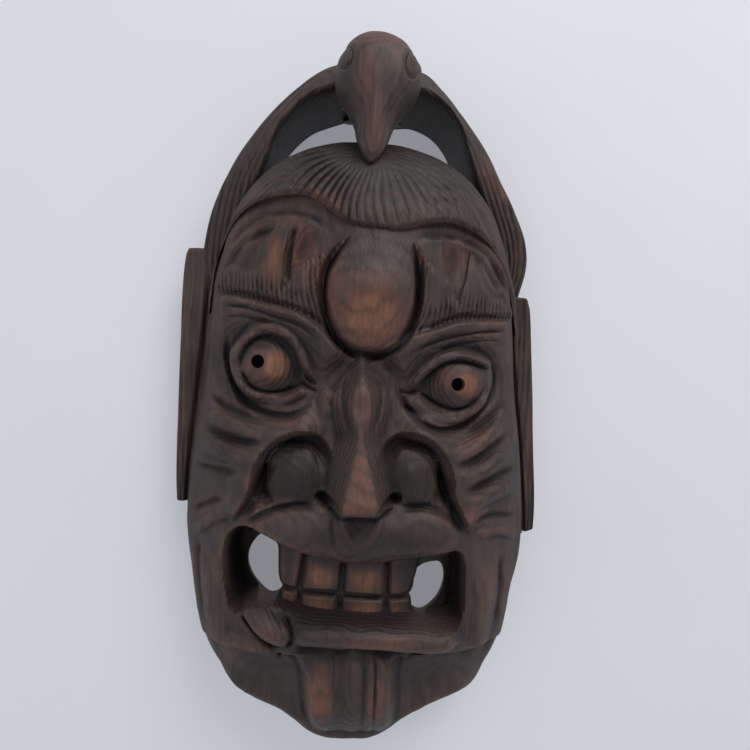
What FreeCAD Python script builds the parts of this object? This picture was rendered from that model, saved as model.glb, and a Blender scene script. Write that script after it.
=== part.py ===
"""Large carved wooden wall mask with a bird crest, built from joined blocks of wood.

Frame: X to the viewer's right, Y from the viewer to the wall, Z up, in millimetres. The wall is the
plane Y = 0. The origin is on that plane, behind the pivot of the hanging ring. "Rise" is how far a
surface stands off the wall, so a point with rise 90 has Y = -90. Left and right are the viewer's.
Places on the face are given as (x, height above the eye line).
"""

import os

import FreeCAD
import Part
import Sketcher

V = FreeCAD.Vector
DOC = FreeCAD.newDocument("wall_mask")
SHEET = DOC.addObject("Spreadsheet::Sheet", "sizes")
TO_VIEWER = V(0, -1, 0)
TO_RIGHT = V(1, 0, 0)
UP = V(0, 0, 1)
NODES = {}

# Driving dimensions: each becomes a cell of the sheet with this name.
SIZES = {
    "eye_line": -138,  # below the ring's pivot
    "block_depth": 150,
    # half widths and heights of the outline that the face and crown are sawn to
    "cheek_half": 129,
    "brow_half": 112,
    "jaw_half": 109,
    "chin_half": 34,
    "jaw_low": -245,
    "chin_low": -257,
    "crown_high": 169,
    # how far the front stands off the wall on the axis
    "crown_rise": 90,
    "brow_rise": 100,
    "mouth_rise": 102,
    "jaw_rise": 96,
    # hollow behind the face
    "wall": 21,
    "hollow_high": 96,
    "hollow_low": -222,
    # mouth slot and teeth, which sit askew
    "mouth_tilt": 4.5,
    "mouth_x": -5,
    "mouth_z": -147,
    "mouth_half": 74,
    "mouth_upper": 26,
    "mouth_lower": 21,
    "teeth_half": 49,
    "teeth_rise": 93,
    "teeth_back": 62,
    "tooth_wide": 26,
    "tooth_gap": 3,
    "gap_deep": 5,
    # carved features
    "eye_radius": 25,
    "eye_rise": 68,
    "pupil_radius": 4.5,
    "pupil_deep": 16,
    "left_eye_x": -69,
    "left_eye_z": 7,
    "right_eye_x": 64,
    "right_eye_z": -3,
    "nose_half": 13,
    "nose_bridge_half": 5,
    "nose_tall": 86,
    "nose_low": -84,
    "nose_rise": 130,
    "nose_bridge_rise": 104,
    "nose_back": 60,
    "lobe_radius": 20,
    "lobe_x": 37,
    "lobe_z": -66,
    "lobe_rise": 86,
    "boss_half": 22,
    "boss_tall": 32,
    "boss_thick": 14,
    "boss_z": 46,
    "boss_rise": 96,
    # ear boards
    "ear_half": 140,
    "ear_rise": 36,
    "ear_chamfer": 6,
    "left_ear_high": 93,
    "left_ear_low": -101,
    "right_ear_high": 66,
    "right_ear_low": -120,
    # crest: two wings that meet at the bird's neck
    "wing_rise": 58,
    "wing_tip_rise": 34,
    "bird_high": 233,
    "bird_half": 30,
    "bird_rise": 74,
    "bird_skull_tall": 33,
    "bird_nod": 10,
    "beak_tip_radius": 5,
    "beak_root_radius": 21,
    "beak_long": 56,
    "beak_tip_rise": 96,
    "beak_tip_z": 143,
    "neck_half": 24,
    "neck_tall": 17,
    "neck_z": 212,
    # dowels that hold the blocks together
    "dowel_radius": 4,
    "side_dowel": 18,
    "wing_dowel": 26,
    "neck_dowel": 28,
    "crown_dowel": 36,
    # hanging ring, its plate and screws
    "recess_half": 14,
    "recess_deep": 6.5,
    "recess_low": -33,
    "plate_half": 5,
    "plate_tall": 17,
    "plate_thick": 1.2,
    "knuckle_radius": 2.6,
    "knuckle_bore": 1.24,
    "wire_radius": 1.15,
    "ring_half": 8,
    "ring_arm": 20,
    "screw_radius": 1.4,
    "screw_head": 2.6,
    "screw_head_deep": 1.2,
    "screw_long": 12,
    "screw_first": -6,
    "screw_second": -13,
}


# ---------------------------------------------------------------- helpers


def fill_sheet():
    for row, (alias, value) in enumerate(SIZES.items(), start=1):
        SHEET.set(f"A{row}", alias)
        SHEET.set(f"B{row}", str(value))
        SHEET.setAlias(f"B{row}", alias)
    DOC.recompute()


def size(alias):
    return float(SHEET.get(alias))


def on_sheet(text):
    """The expression with 'sizes.' in front of each cell's name."""
    found, word = "", ""
    for letter in str(text) + " ":
        if letter.isalnum() or letter == "_":
            word += letter
        else:
            found += (f"sizes.{word}" if word in SIZES else word) + letter
            word = ""
    return found.strip()


def bind(obj, **expressions):
    for prop, text in expressions.items():
        obj.setExpression(prop, on_sheet(text))
    return obj


def place(obj, x=0, rise=0, z=0):
    """Puts obj at a point given by expressions, with its rise off the wall."""
    for axis, text in (("x", x), ("y", f"-({rise})"), ("z", z)):
        obj.setExpression(f"Placement.Base.{axis}", on_sheet(text))
    return obj


def add(kind, name):
    return DOC.addObject(kind, name)


def cut(name, base, tool):
    obj = add("Part::Cut", name)
    obj.Base, obj.Tool = base, tool
    return obj


def common(name, base, tool):
    obj = add("Part::Common", name)
    obj.Base, obj.Tool = base, tool
    return obj


def join(name, *parts):
    obj = add("Part::MultiFuse", name)
    obj.Shapes = list(parts)
    return obj


def together(name, parts):
    """Separate solids held as one object."""
    obj = add("Part::Compound", name)
    obj.Links = parts
    return obj


def node(name, obj):
    """Marks obj as the finished piece that is written under this name."""
    obj.Label = name
    NODES[name] = obj
    return obj


def ellipsoid(name, wide, tall, deep, **where):
    obj = add("Part::Ellipsoid", name)
    obj.Angle1 = -90
    bind(obj, Radius2=wide, Radius3=deep, Radius1=tall)
    return place(obj, **where)


def cylinder(name, radius, height, axis, **where):
    """Starts at its place and runs along axis."""
    obj = add("Part::Cylinder", name)
    bind(obj, Radius=radius, Height=height)
    obj.Placement = FreeCAD.Placement(V(), FreeCAD.Rotation(UP, axis))
    return place(obj, **where)


def box(name, wide, deep, tall, **where):
    """Centred on its place in X, in front of it, and rising from it."""
    obj = add("Part::Box", name)
    bind(obj, Length=wide, Width=deep, Height=tall)
    where["x"] = f"({where.get('x', 0)}) - ({wide}) / 2"
    where["rise"] = f"({where.get('rise', 0)}) + ({deep})"
    return place(obj, **where)


def prism(name, face, rise):
    """Runs a face on the wall plane forwards to a rise."""
    outline = add("Part::Feature", name + "_outline")
    outline.Shape = face
    solid = add("Part::Extrusion", name)
    solid.Base = outline
    solid.DirMode = "Custom"
    solid.Dir = TO_VIEWER
    return bind(solid, LengthFwd=rise)


def points(pairs):
    return [V(x, 0, z + size("eye_line")) for x, z in pairs]


def closed_curve(pairs):
    curve = Part.BSplineCurve()
    curve.interpolate(Points=points(pairs), PeriodicFlag=True)
    return Part.Face(Part.Wire([curve.toShape()]))


def curve_and_lines(curved, straight):
    """A face between a curve through some points and straight sides through the others."""
    curve = Part.BSplineCurve()
    curve.interpolate(Points=points(curved), PeriodicFlag=False)
    corners = points([curved[-1], *straight, curved[0]])
    sides = [Part.LineSegment(a, b).toShape() for a, b in zip(corners, corners[1:])]
    return Part.Face(Part.Wire([curve.toShape(), *sides]))


def dome(name, levels):
    """A loft through level ellipses, each (height above the eye line, half width, rise)."""
    rings = []
    for n, (z, half, rise) in enumerate(levels):
        ring = add("Part::Ellipse", f"{name}_level_{n}")
        bind(ring, MajorRadius=half, MinorRadius=rise)
        rings.append(place(ring, z=f"eye_line + ({z})"))
    loft = add("Part::Loft", name)
    loft.Sections = rings
    loft.Solid = True
    return loft


def sketch(body, role, name):
    """A sketch on one of the body's own planes."""
    plane = next(p for p in body.Origin.OriginFeatures if p.Role == role)
    made = body.newObject("Sketcher::SketchObject", name)
    made.AttachmentSupport = [(plane, "")]
    made.MapMode = "FlatFace"
    return made


def polygon(drawn, corners):
    """Straight sides round corners given as pairs of expressions, each held by its two dimensions."""
    at = [V(eval_number(x, SIZES), eval_number(y, SIZES), 0) for x, y in corners]
    for n, here in enumerate(at):
        drawn.addGeometry(Part.LineSegment(here, at[(n + 1) % len(at)]), False)
    for n in range(len(at)):
        drawn.addConstraint(Sketcher.Constraint("Coincident", n, 2, (n + 1) % len(at), 1))
    for n, pair in enumerate(corners):
        for kind, value, text in zip(("DistanceX", "DistanceY"), at[n], pair):
            index = drawn.addConstraint(Sketcher.Constraint(kind, -1, 1, n, 1, value))
            drawn.setExpression(f"Constraints[{index}]", on_sheet(text))
    return drawn


def eval_number(text, cells):
    """The value of an expression of cells, numbers, + and -."""
    total, sign = 0.0, 1
    for word in str(text).replace("-", " - ").replace("+", " + ").split():
        if word in "+-":
            sign = 1 if word == "+" else -1
        else:
            total += sign * (cells[word] if word in cells else float(word))
            sign = 1
    return total


def pad(body, drawn, length):
    made = body.newObject("PartDesign::Pad", drawn.Name + "_pad")
    made.Profile = drawn
    bind(made, Length=length)
    drawn.Visibility = False
    return made


# ---------------------------------------------------------------- carved blocks


def blocks():
    """The face and crown as one form: a dome sawn to the outline seen from the front."""
    cheek, brow, jaw = size("cheek_half"), size("brow_half"), size("jaw_half")
    top, low = size("crown_high"), size("jaw_low")
    half, chin = size("chin_half"), size("chin_low")
    side = [
        (38, top - 7),
        (72, top - 24),
        (99, top - 58),
        (brow, 60),
        (cheek - 9, 0),
        (cheek - 3, -60),
        (cheek, -100),
        (cheek - 9, -145),
        (cheek - 13, -175),
        (jaw, -200),
        (jaw - 12, -220),
        (jaw - 31, low + 7),
        (jaw - 52, low + 1),
        (half + 6, low - 3),
        (half - 12, chin),
    ]
    outline = closed_curve([(0, top), *side, *[(-x, z) for x, z in reversed(side)]])
    sawn = prism("sawn_outline", outline, "block_depth")
    outer = dome(
        "outer_dome",
        [
            ("crown_high + 6", "52", "crown_rise - 50"),
            ("crown_high - 12", "88", "crown_rise - 18"),
            ("115", "cheek_half - 14", "crown_rise + 3"),
            ("60", "cheek_half - 3", "brow_rise"),
            ("0", "cheek_half + 2", "brow_rise - 5"),
            ("-60", "cheek_half + 6", "brow_rise"),
            ("-120", "cheek_half + 6", "mouth_rise"),
            ("-180", "cheek_half - 1", "mouth_rise"),
            ("-230", "cheek_half - 19", "jaw_rise"),
            ("chin_low - 8", "cheek_half - 44", "jaw_rise - 14"),
        ],
    )
    return sawn, common("blocks", outer, sawn)


def hollow():
    """The inside, gouged out from behind."""
    inner = dome(
        "inner_dome",
        [
            ("hollow_high", "52", "42"),
            ("hollow_high - 16", "82", "brow_rise - wall - 10"),
            ("40", "brow_half - wall", "brow_rise - wall"),
            ("0", "brow_half - wall + 4", "brow_rise - wall - 5"),
            ("-60", "cheek_half - wall - 6", "brow_rise - wall"),
            ("-120", "cheek_half - wall - 4", "mouth_rise - wall"),
            ("-180", "jaw_half - wall", "mouth_rise - wall - 2"),
            ("hollow_low + 16", "70", "jaw_rise - wall - 12"),
            ("hollow_low", "48", "38"),
        ],
    )
    return inner


def hair_region():
    """Everything above and outside the hairline, where the crown block meets the face."""
    hairline = [
        (-122, 46),
        (-108, 88),
        (-92, 110),
        (-70, 118),
        (-44, 117),
        (-14, 99),
        (10, 96),
        (42, 103),
        (64, 104),
        (88, 94),
        (106, 70),
        (122, 34),
    ]
    beyond = [(160, 34), (160, 260), (-160, 260), (-160, 46)]
    return prism("hair_region", curve_and_lines(hairline, beyond), "block_depth")


def nose():
    """The ridge from the bridge down to the tip."""
    ridge = add("Part::Wedge", "nose_ridge")
    bind(
        ridge,
        Xmin="-nose_half",
        Xmax="nose_half",
        X2min="-nose_bridge_half",
        X2max="nose_bridge_half",
        Ymin="0",
        Ymax="nose_tall",
        Zmin="nose_back",
        Z2min="nose_back",
        Zmax="nose_rise",
        Z2max="nose_bridge_rise",
    )
    ridge.Placement.Rotation = FreeCAD.Rotation(TO_RIGHT, 90)
    return place(ridge, z="eye_line + nose_low")


def front_features():
    """What stands proud of the dome: nose, nostril lobes, eyeballs, forehead boss, lips and chin."""
    r = "lobe_radius"
    return [
        nose(),
        ellipsoid("left_lobe", r, r, "24", x="-lobe_x", rise="lobe_rise", z="eye_line + lobe_z"),
        ellipsoid("right_lobe", r, r, "24", x="lobe_x", rise="lobe_rise", z="eye_line + lobe_z"),
        ellipsoid(
            "left_eyeball",
            "eye_radius",
            "eye_radius",
            "eye_radius",
            x="left_eye_x",
            rise="eye_rise",
            z="eye_line + left_eye_z",
        ),
        ellipsoid(
            "right_eyeball",
            "eye_radius",
            "eye_radius",
            "eye_radius",
            x="right_eye_x",
            rise="eye_rise",
            z="eye_line + right_eye_z",
        ),
        ellipsoid(
            "forehead_boss",
            "boss_half",
            "boss_tall",
            "boss_thick",
            x="2",
            rise="boss_rise",
            z="eye_line + boss_z",
        ),
        ellipsoid("upper_lip", "70", "20", "22", rise="86", z="eye_line - 103"),
        ellipsoid("lower_lip", "70", "13", "22", rise="84", z="eye_line - 180"),
        ellipsoid("chin_knob", "34", "24", "34", rise="66", z="eye_line - 222"),
    ]


def mouth_slot(name):
    """The slot cut right through between the lips, which the teeth fill in the middle."""
    half, over, under = size("mouth_half"), size("mouth_upper"), size("mouth_lower")
    line = size("mouth_z")
    face = closed_curve(
        [
            (-half, 0 + line),
            (-half + 10, over - 5 + line),
            (-half + 26, over + line),
            (0, over - 2 + line),
            (half - 26, over + line),
            (half - 10, over - 5 + line),
            (half, 0 + line),
            (half - 12, -under + 4 + line),
            (half - 30, -under + line),
            (0, -under + 1 + line),
            (-half + 30, -under + line),
            (-half + 12, -under + 4 + line),
        ]
    )
    return askew(prism(name, face, "block_depth"))


def askew(obj):
    """Tilts obj about the middle of the mouth, down to the right, as the mouth is carved."""
    middle = V(0, 0, size("eye_line") + size("mouth_z"))
    lean = FreeCAD.Rotation(V(0, 1, 0), size("mouth_tilt"))
    about = FreeCAD.Placement(V(size("mouth_x"), 0, 0) + middle, lean)
    obj.Placement = about * FreeCAD.Placement(-middle, FreeCAD.Rotation()) * obj.Placement
    return obj


def pupils():
    """Blind holes drilled into the eyeballs."""
    holes = []
    for side in ("left", "right"):
        holes.append(
            cylinder(
                side + "_pupil",
                "pupil_radius",
                "block_depth",
                TO_VIEWER,
                x=f"{side}_eye_x",
                rise="eye_rise + eye_radius - pupil_deep",
                z=f"eye_line + {side}_eye_z",
            )
        )
    return together("pupils", holes)


def teeth_row(name, low, high):
    """One row of four teeth on a curved block, between two heights from the bite."""
    body = add("PartDesign::Body", name + "_body")
    plan = polygon(
        sketch(body, "XY_Plane", name + "_plan"),
        [
            ("-teeth_half", "-teeth_back"),
            ("-teeth_half", "-teeth_rise + 19"),
            ("-teeth_half + 5", "-teeth_rise + 8"),
            ("-teeth_half + 21", "-teeth_rise + 1"),
            ("0", "-teeth_rise"),
            ("teeth_half - 21", "-teeth_rise + 1"),
            ("teeth_half - 5", "-teeth_rise + 8"),
            ("teeth_half", "-teeth_rise + 19"),
            ("teeth_half", "-teeth_back"),
        ],
    )
    pad(body, plan, f"{high} - ({low})")
    bite = size("eye_line") + size("mouth_z")
    body.Placement.Base = V(0, 0, bite + eval_number(low, SIZES))
    gaps = [
        box(
            f"{name}_gap_{n}",
            "tooth_gap",
            "gap_deep + 20",
            "70",
            x=f"tooth_wide * {n}",
            rise=f"teeth_rise - gap_deep - {3 * abs(n)}",
            z="eye_line + mouth_z - 35",
        )
        for n in (-1, 0, 1)
    ]
    row = cut(name + "_row", askew(body), askew(together(name + "_gaps", gaps)))
    return common(name + "_in_slot", row, mouth_slot(name + "_bounds"))


# ---------------------------------------------------------------- ears and crest


def ear(side, sign):
    """A long board against the side of the face, chamfered along its outer front edge."""
    body = add("PartDesign::Body", side + "_ear_body")
    out = "ear_half" if sign > 0 else "-ear_half"
    inner = "60" if sign > 0 else "-60"
    shift = "-" if sign > 0 else "+"
    high, low = f"eye_line + {side}_ear_high", f"eye_line + {side}_ear_low"
    board = polygon(
        sketch(body, "XZ_Plane", side + "_ear_outline"),
        [
            (f"{out} {shift} 1", low),
            (out, f"{low} + 6"),
            (f"{out} {shift} 3", f"{high} - 40"),
            (f"{out} {shift} 4", f"{high} - 8"),
            (f"{out} {shift} 10", high),
            (inner, high),
            (inner, low),
        ],
    )
    pad(body, board, "ear_rise")
    return body


def wing(side, outer, inner):
    """A crescent that springs from the neck and comes down beside the crown, thinner towards its tip."""
    top = Part.BSplineCurve()
    top.interpolate(Points=points(outer), PeriodicFlag=False)
    under = Part.BSplineCurve()
    under.interpolate(Points=points(inner), PeriodicFlag=False)
    ends = [
        Part.LineSegment(points([outer[-1]])[0], points([inner[0]])[0]).toShape(),
        Part.LineSegment(points([inner[-1]])[0], points([outer[0]])[0]).toShape(),
    ]
    face = Part.Face(Part.Wire([top.toShape(), ends[0], under.toShape(), ends[1]]))
    return prism(side + "_wing_prism", face, "wing_rise")


def wing_slope():
    """Cuts the fronts of both wings back towards their tips."""
    ease = add("Part::Wedge", "wing_slope")
    bind(
        ease,
        Xmin="-160",
        Xmax="160",
        X2min="-160",
        X2max="160",
        Ymin="0",
        Ymax="210",
        Zmin="wing_tip_rise - 6",
        Z2min="wing_rise + 6",
        Zmax="wing_rise + 40",
        Z2max="wing_rise + 40",
    )
    ease.Placement.Rotation = FreeCAD.Rotation(TO_RIGHT, 90)
    return place(ease, z="eye_line + 40")


def bird():
    """An egg-shaped head and a tapering beak that nod forwards, on a neck that runs back to the wall."""
    nod = FreeCAD.Rotation(TO_RIGHT, -size("bird_nod"))
    head = ellipsoid(
        "bird_skull",
        "bird_half",
        "bird_skull_tall",
        "bird_half",
        rise="bird_rise",
        z="eye_line + bird_high - bird_skull_tall",
    )
    beak = add("Part::Cone", "bird_beak")
    bind(beak, Radius1="beak_tip_radius", Radius2="beak_root_radius", Height="beak_long")
    beak.Placement.Rotation = nod
    place(beak, rise="beak_tip_rise", z="eye_line + beak_tip_z")
    neck = add("Part::Ellipse", "neck_section")
    bind(neck, MajorRadius="neck_half", MinorRadius="neck_tall")
    neck.Placement.Rotation = FreeCAD.Rotation(TO_RIGHT, 90)
    place(neck, z="eye_line + neck_z")
    neck_solid = add("Part::Extrusion", "neck")
    neck_solid.Base = neck
    neck_solid.DirMode = "Custom"
    neck_solid.Dir = TO_VIEWER
    neck_solid.Solid = True
    bind(neck_solid, LengthFwd="bird_rise")
    return join("bird_form", head, beak, neck_solid)


# ---------------------------------------------------------------- dowels


def dowels():
    """Four groups of dowels, each drilled half into one block and half into the next."""
    r = "dowel_radius"
    ears = []
    for side, sign in (("left", -1), ("right", 1)):
        for z, edge in ((40, 116), (-70, 127)):
            start = f"{sign * edge} - side_dowel / 2 - {sign * 3}"
            ears.append(
                cylinder(
                    f"{side}_ear_dowel_{len(ears)}",
                    r,
                    "side_dowel",
                    TO_RIGHT,
                    x=start,
                    rise="15",
                    z=f"eye_line + {z}",
                )
            )
    wings = [
        cylinder(
            f"{side}_wing_dowel",
            r,
            "wing_dowel",
            TO_RIGHT,
            x=f"{sign * 100} - wing_dowel / 2",
            rise="17",
            z="eye_line + 106",
        )
        for side, sign in (("left", -1), ("right", 1))
    ]
    necks = [
        cylinder(
            f"{side}_neck_dowel",
            r,
            "neck_dowel",
            TO_RIGHT,
            x=f"{sign * 25} - neck_dowel / 2",
            rise="28",
            z="eye_line + neck_z",
        )
        for side, sign in (("left", -1), ("right", 1))
    ]
    crown = [
        cylinder(
            f"{side}_crown_dowel",
            "dowel_radius + 1",
            "crown_dowel",
            UP,
            x=f"{sign * 58}",
            rise="66",
            z="eye_line + 92",
        )
        for side, sign in (("left", -1), ("right", 1))
    ]
    return {"ear": ears, "wing": wings + necks, "crown": crown}


# ---------------------------------------------------------------- hanger


def hanger_plate():
    """A narrow plate screwed to the floor of its recess, with a knuckle along its upper edge."""
    body = add("PartDesign::Body", "plate_body")
    outline = polygon(
        sketch(body, "XZ_Plane", "plate_outline"),
        [
            ("-plate_half", "-plate_tall"),
            ("plate_half", "-plate_tall"),
            ("plate_half", "0"),
            ("-plate_half", "0"),
        ],
    )
    pad(body, outline, "plate_thick")
    place(body, rise="recess_deep - plate_thick")
    knuckle = cylinder(
        "knuckle",
        "knuckle_radius",
        "2 * plate_half",
        TO_RIGHT,
        x="-plate_half",
        rise="recess_deep - knuckle_radius",
    )
    bore = cylinder(
        "knuckle_bore_tool",
        "knuckle_bore",
        "2 * plate_half + 2",
        TO_RIGHT,
        x="-plate_half - 1",
        rise="recess_deep - knuckle_radius",
    )
    return cut("bored_plate", join("plate_and_knuckle", body, knuckle), bore)


def hanger_ring():
    """A wire loop: a bar through the knuckle, two arms and a half round end, hanging down."""
    half, arm = "ring_half", "ring_arm"
    r, deep = "wire_radius", "recess_deep - knuckle_radius"
    bar = cylinder("ring_bar", r, f"2 * {half}", TO_RIGHT, x=f"-{half}", rise=deep)
    arms = [
        cylinder(f"ring_arm_{n}", r, arm, V(0, 0, -1), x=f"{sign} * {half}", rise=deep)
        for n, sign in enumerate((-1, 1))
    ]
    corners = []
    for n, sign in enumerate((-1, 1)):
        ball = add("Part::Sphere", f"ring_corner_{n}")
        bind(ball, Radius=r)
        corners.append(place(ball, x=f"{sign} * {half}", rise=deep))
    bend = add("Part::Torus", "ring_end")
    bind(bend, Radius1=half, Radius2=r)
    bend.Angle3 = 180
    bend.Placement.Rotation = FreeCAD.Rotation(TO_RIGHT, -90)
    place(bend, rise=deep, z=f"-{arm}")
    return join("ring_wire", bar, *arms, *corners, bend)


def screws():
    """Two countersunk wood screws, driven forwards through the plate, and the blanks for their holes."""
    made, blanks = [], []
    for n, z in enumerate(("screw_first", "screw_second")):
        head = add("Part::Cone", f"screw_head_{n}")
        bind(head, Radius1="screw_head", Radius2="screw_radius", Height="screw_head_deep")
        head.Placement.Rotation = FreeCAD.Rotation(UP, TO_VIEWER)
        place(head, rise="recess_deep - plate_thick", z=z)
        shank = cylinder(
            f"screw_shank_{n}",
            "screw_radius",
            "screw_long",
            TO_VIEWER,
            rise="recess_deep - plate_thick",
            z=z,
        )
        slot = box(
            f"screw_slot_{n}", "4", "0.5", "0.6", rise="recess_deep - plate_thick", z=f"{z} - 0.3"
        )
        blanks.append(join(f"screw_blank_{n}", head, shank))
        made.append(cut(f"screw_{n}", blanks[-1], slot))
    return together("screw_group", made), together("screw_holes", blanks)


# ---------------------------------------------------------------- assembly


def assemble():
    sawn, form = blocks()
    hair = hair_region()
    inside = hollow()
    pegs = dowels()
    pegged = {name: together(f"{name}_dowel_group", parts) for name, parts in pegs.items()}
    drilled = together("all_dowels", [*pegs["ear"], *pegs["wing"], *pegs["crown"]])

    recess = box(
        "recess", "2 * recess_half", "recess_deep + 1", "80", rise="-1", z="recess_low"
    )
    fasteners, screw_holes = screws()

    face = join("face_front", cut("face_block", form, hair), *front_features())
    face = cut("face_sawn", common("face_in_outline", face, sawn), hair)
    face = cut("face_hollowed", face, inside)
    face = cut("face_with_mouth", face, mouth_slot("mouth_slot"))
    face = cut("face_with_pupils", face, pupils())
    node("face_shell", cut("face_drilled", face, drilled))

    crown = cut("crown_hollowed", common("crown_form", form, hair), inside)
    crown = cut("crown_recessed", crown, recess)
    crown = cut("crown_drilled", crown, drilled)
    node("crown_block", cut("crown_screwed", crown, screw_holes))

    for name, low, high in (
        ("upper_teeth", "0", "mouth_upper + 6"),
        ("lower_teeth", "-mouth_lower - 6", "0"),
    ):
        node(name, teeth_row(name, low, high))

    body = bird()
    node("bird_head", cut("bird_drilled", cut("bird_fitted", body, form), drilled))
    slope = wing_slope()
    wings = {
        "left": wing(
            "left",
            [
                (-10, 226),
                (-31, 227),
                (-53, 211),
                (-75, 190),
                (-94, 167),
                (-107, 145),
                (-117, 123),
                (-124, 97),
                (-124, 66),
            ],
            [(-100, 66), (-92, 110), (-84, 140), (-68, 174), (-46, 193), (-17, 206), (-10, 206)],
        ),
        "right": wing(
            "right",
            [
                (10, 226),
                (36, 226),
                (54, 213),
                (69, 196),
                (87, 175),
                (102, 151),
                (115, 126),
                (125, 106),
                (125, 60),
            ],
            [(100, 60), (92, 105), (86, 135), (70, 170), (52, 194), (20, 206), (10, 206)],
        ),
    }
    for side, blank in wings.items():
        eased = cut(f"{side}_wing_eased", blank, slope)
        fitted = cut(f"{side}_wing_fitted", cut(f"{side}_wing_off_block", eased, sawn), body)
        node(f"{side}_wing", cut(f"{side}_wing_drilled", fitted, drilled))
    for side, sign in (("left", -1), ("right", 1)):
        board = cut(f"{side}_ear_off_block", ear(side, sign), sawn)
        board = cut(f"{side}_ear_fitted", board, wings[side])
        node(f"{side}_ear", cut(f"{side}_ear_drilled", board, drilled))

    for name in pegs:
        node(f"{name}_dowels", pegged[name])
    node("hanger_plate", cut("plate_drilled", hanger_plate(), screw_holes))
    node("hanger_ring", hanger_ring())
    node("hanger_screws", fasteners)


def check_and_write():
    DOC.recompute()
    failed = [o.Name for o in DOC.Objects if set(o.State) & {"Invalid", "Error"}]
    if failed:
        raise SystemExit(f"these failed to build: {failed}")
    os.makedirs("parts", exist_ok=True)
    for name, obj in NODES.items():
        shape = obj.Shape
        if shape.isNull() or not shape.isValid() or not shape.Solids:
            raise SystemExit(f"{name} has no valid solid")
        Part.makeCompound(shape.Solids).exportStep(os.path.join("parts", name + ".step"))
        box_ = shape.BoundBox
        print(
            f"{name:14s} {len(shape.Solids)} solid(s), {shape.Volume / 1000:8.1f} cm3, "
            f"x {box_.XMin:.1f}..{box_.XMax:.1f} y {box_.YMin:.1f}..{box_.YMax:.1f} "
            f"z {box_.ZMin:.1f}..{box_.ZMax:.1f}"
        )


fill_sheet()
assemble()
check_and_write()
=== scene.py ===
"""A large carved wooden wall mask with a bird crest: its carved surfaces, stain and setting.

Carving is worked out in millimetres as a relief seen from the front: x to the viewer's right, z above
the eye line, and rise, the distance off the wall. Left and right are the viewer's.
"""

import math

import bmesh
import bpy
import numpy as np
from bpy.props import FloatProperty, FloatVectorProperty, PointerProperty
from mathutils import Matrix, Vector


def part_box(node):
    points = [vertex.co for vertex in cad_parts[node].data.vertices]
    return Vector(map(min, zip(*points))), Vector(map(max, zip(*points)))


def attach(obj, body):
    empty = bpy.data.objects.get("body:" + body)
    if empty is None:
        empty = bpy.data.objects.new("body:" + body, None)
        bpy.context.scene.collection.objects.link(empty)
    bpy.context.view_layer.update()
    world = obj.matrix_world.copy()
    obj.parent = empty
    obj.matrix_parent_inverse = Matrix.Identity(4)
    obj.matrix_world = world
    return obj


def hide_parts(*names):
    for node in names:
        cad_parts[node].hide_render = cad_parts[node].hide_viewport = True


bl_info = {
    "name": "Carved Wall Mask",
    "version": (1, 0, 0),
    "blender": (4, 5, 0),
    "location": "3D View > Sidebar > Mask",
    "description": "Carves and stains a wooden wall mask around its packed frame",
    "category": "Object",
}

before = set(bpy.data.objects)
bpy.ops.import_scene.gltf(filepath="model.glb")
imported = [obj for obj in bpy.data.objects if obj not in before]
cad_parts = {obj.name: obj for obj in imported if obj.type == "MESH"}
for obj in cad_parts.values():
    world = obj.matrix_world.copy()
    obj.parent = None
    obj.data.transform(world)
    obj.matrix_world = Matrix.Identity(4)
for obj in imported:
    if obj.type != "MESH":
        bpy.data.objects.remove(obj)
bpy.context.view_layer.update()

MM = 0.001
# The eye line is this far above the lowest point of the chin.
EYE_ABOVE_CHIN = 261.4
EYE_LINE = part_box("face_shell")[0].z / MM + EYE_ABOVE_CHIN


# ---------------------------------------------------------------- lines and noise


def smooth_line(points, closed=False, step=1.5):
    """A smooth curve through the points, as rows about `step` mm apart."""
    p = np.array(points, float)
    if closed:
        guides = np.vstack([p[-1:], p, p[:2]])
    else:
        guides = np.vstack([2 * p[:1] - p[1:2], p, 2 * p[-1:] - p[-2:-1]])
    runs = []
    for a, b, c, d in zip(guides, guides[1:], guides[2:], guides[3:]):
        count = max(2, int(np.linalg.norm(c - b) / step))
        t = np.linspace(0, 1, count, endpoint=False)[:, None]
        bend = (2 * a - 5 * b + 4 * c - d) * t**2 + (3 * b - a - 3 * c + d) * t**3
        runs.append(0.5 * (2 * b + (c - a) * t + bend))
    if not closed:
        runs.append(p[-1:])
    return np.vstack(runs)


def even_line(points, count):
    """The same curve as `count` rows spaced evenly along it."""
    line = smooth_line(points)
    walked = np.r_[0, np.cumsum(np.linalg.norm(np.diff(line, axis=0), axis=1))]
    at = np.linspace(0, walked[-1], count)
    return np.column_stack([np.interp(at, walked, line[:, k]) for k in range(line.shape[1])])


def graph(at, points):
    """The smooth graph through (place, value) points, read at each place."""
    line = smooth_line(sorted(points), step=0.5)
    return np.interp(at, line[:, 0], line[:, 1])


def ease(t):
    """0 below 0, 1 above 1, and an S curve between."""
    t = np.clip(t, 0, 1)
    return t * t * (3 - 2 * t)


def valley(run, sharpness):
    """1 at each whole number, falling away smoothly on both sides."""
    return (0.5 + 0.5 * np.cos(2 * math.pi * run)) ** sharpness


def full_turn(count):
    """Angles spaced evenly round a circle."""
    return np.linspace(0, 2 * math.pi, count, endpoint=False)


# Ripples repeat after this many bumps each way, and place 0 lies this many bumps along.
RIPPLE_REPEAT = 61
RIPPLE_START = 4000


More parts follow.
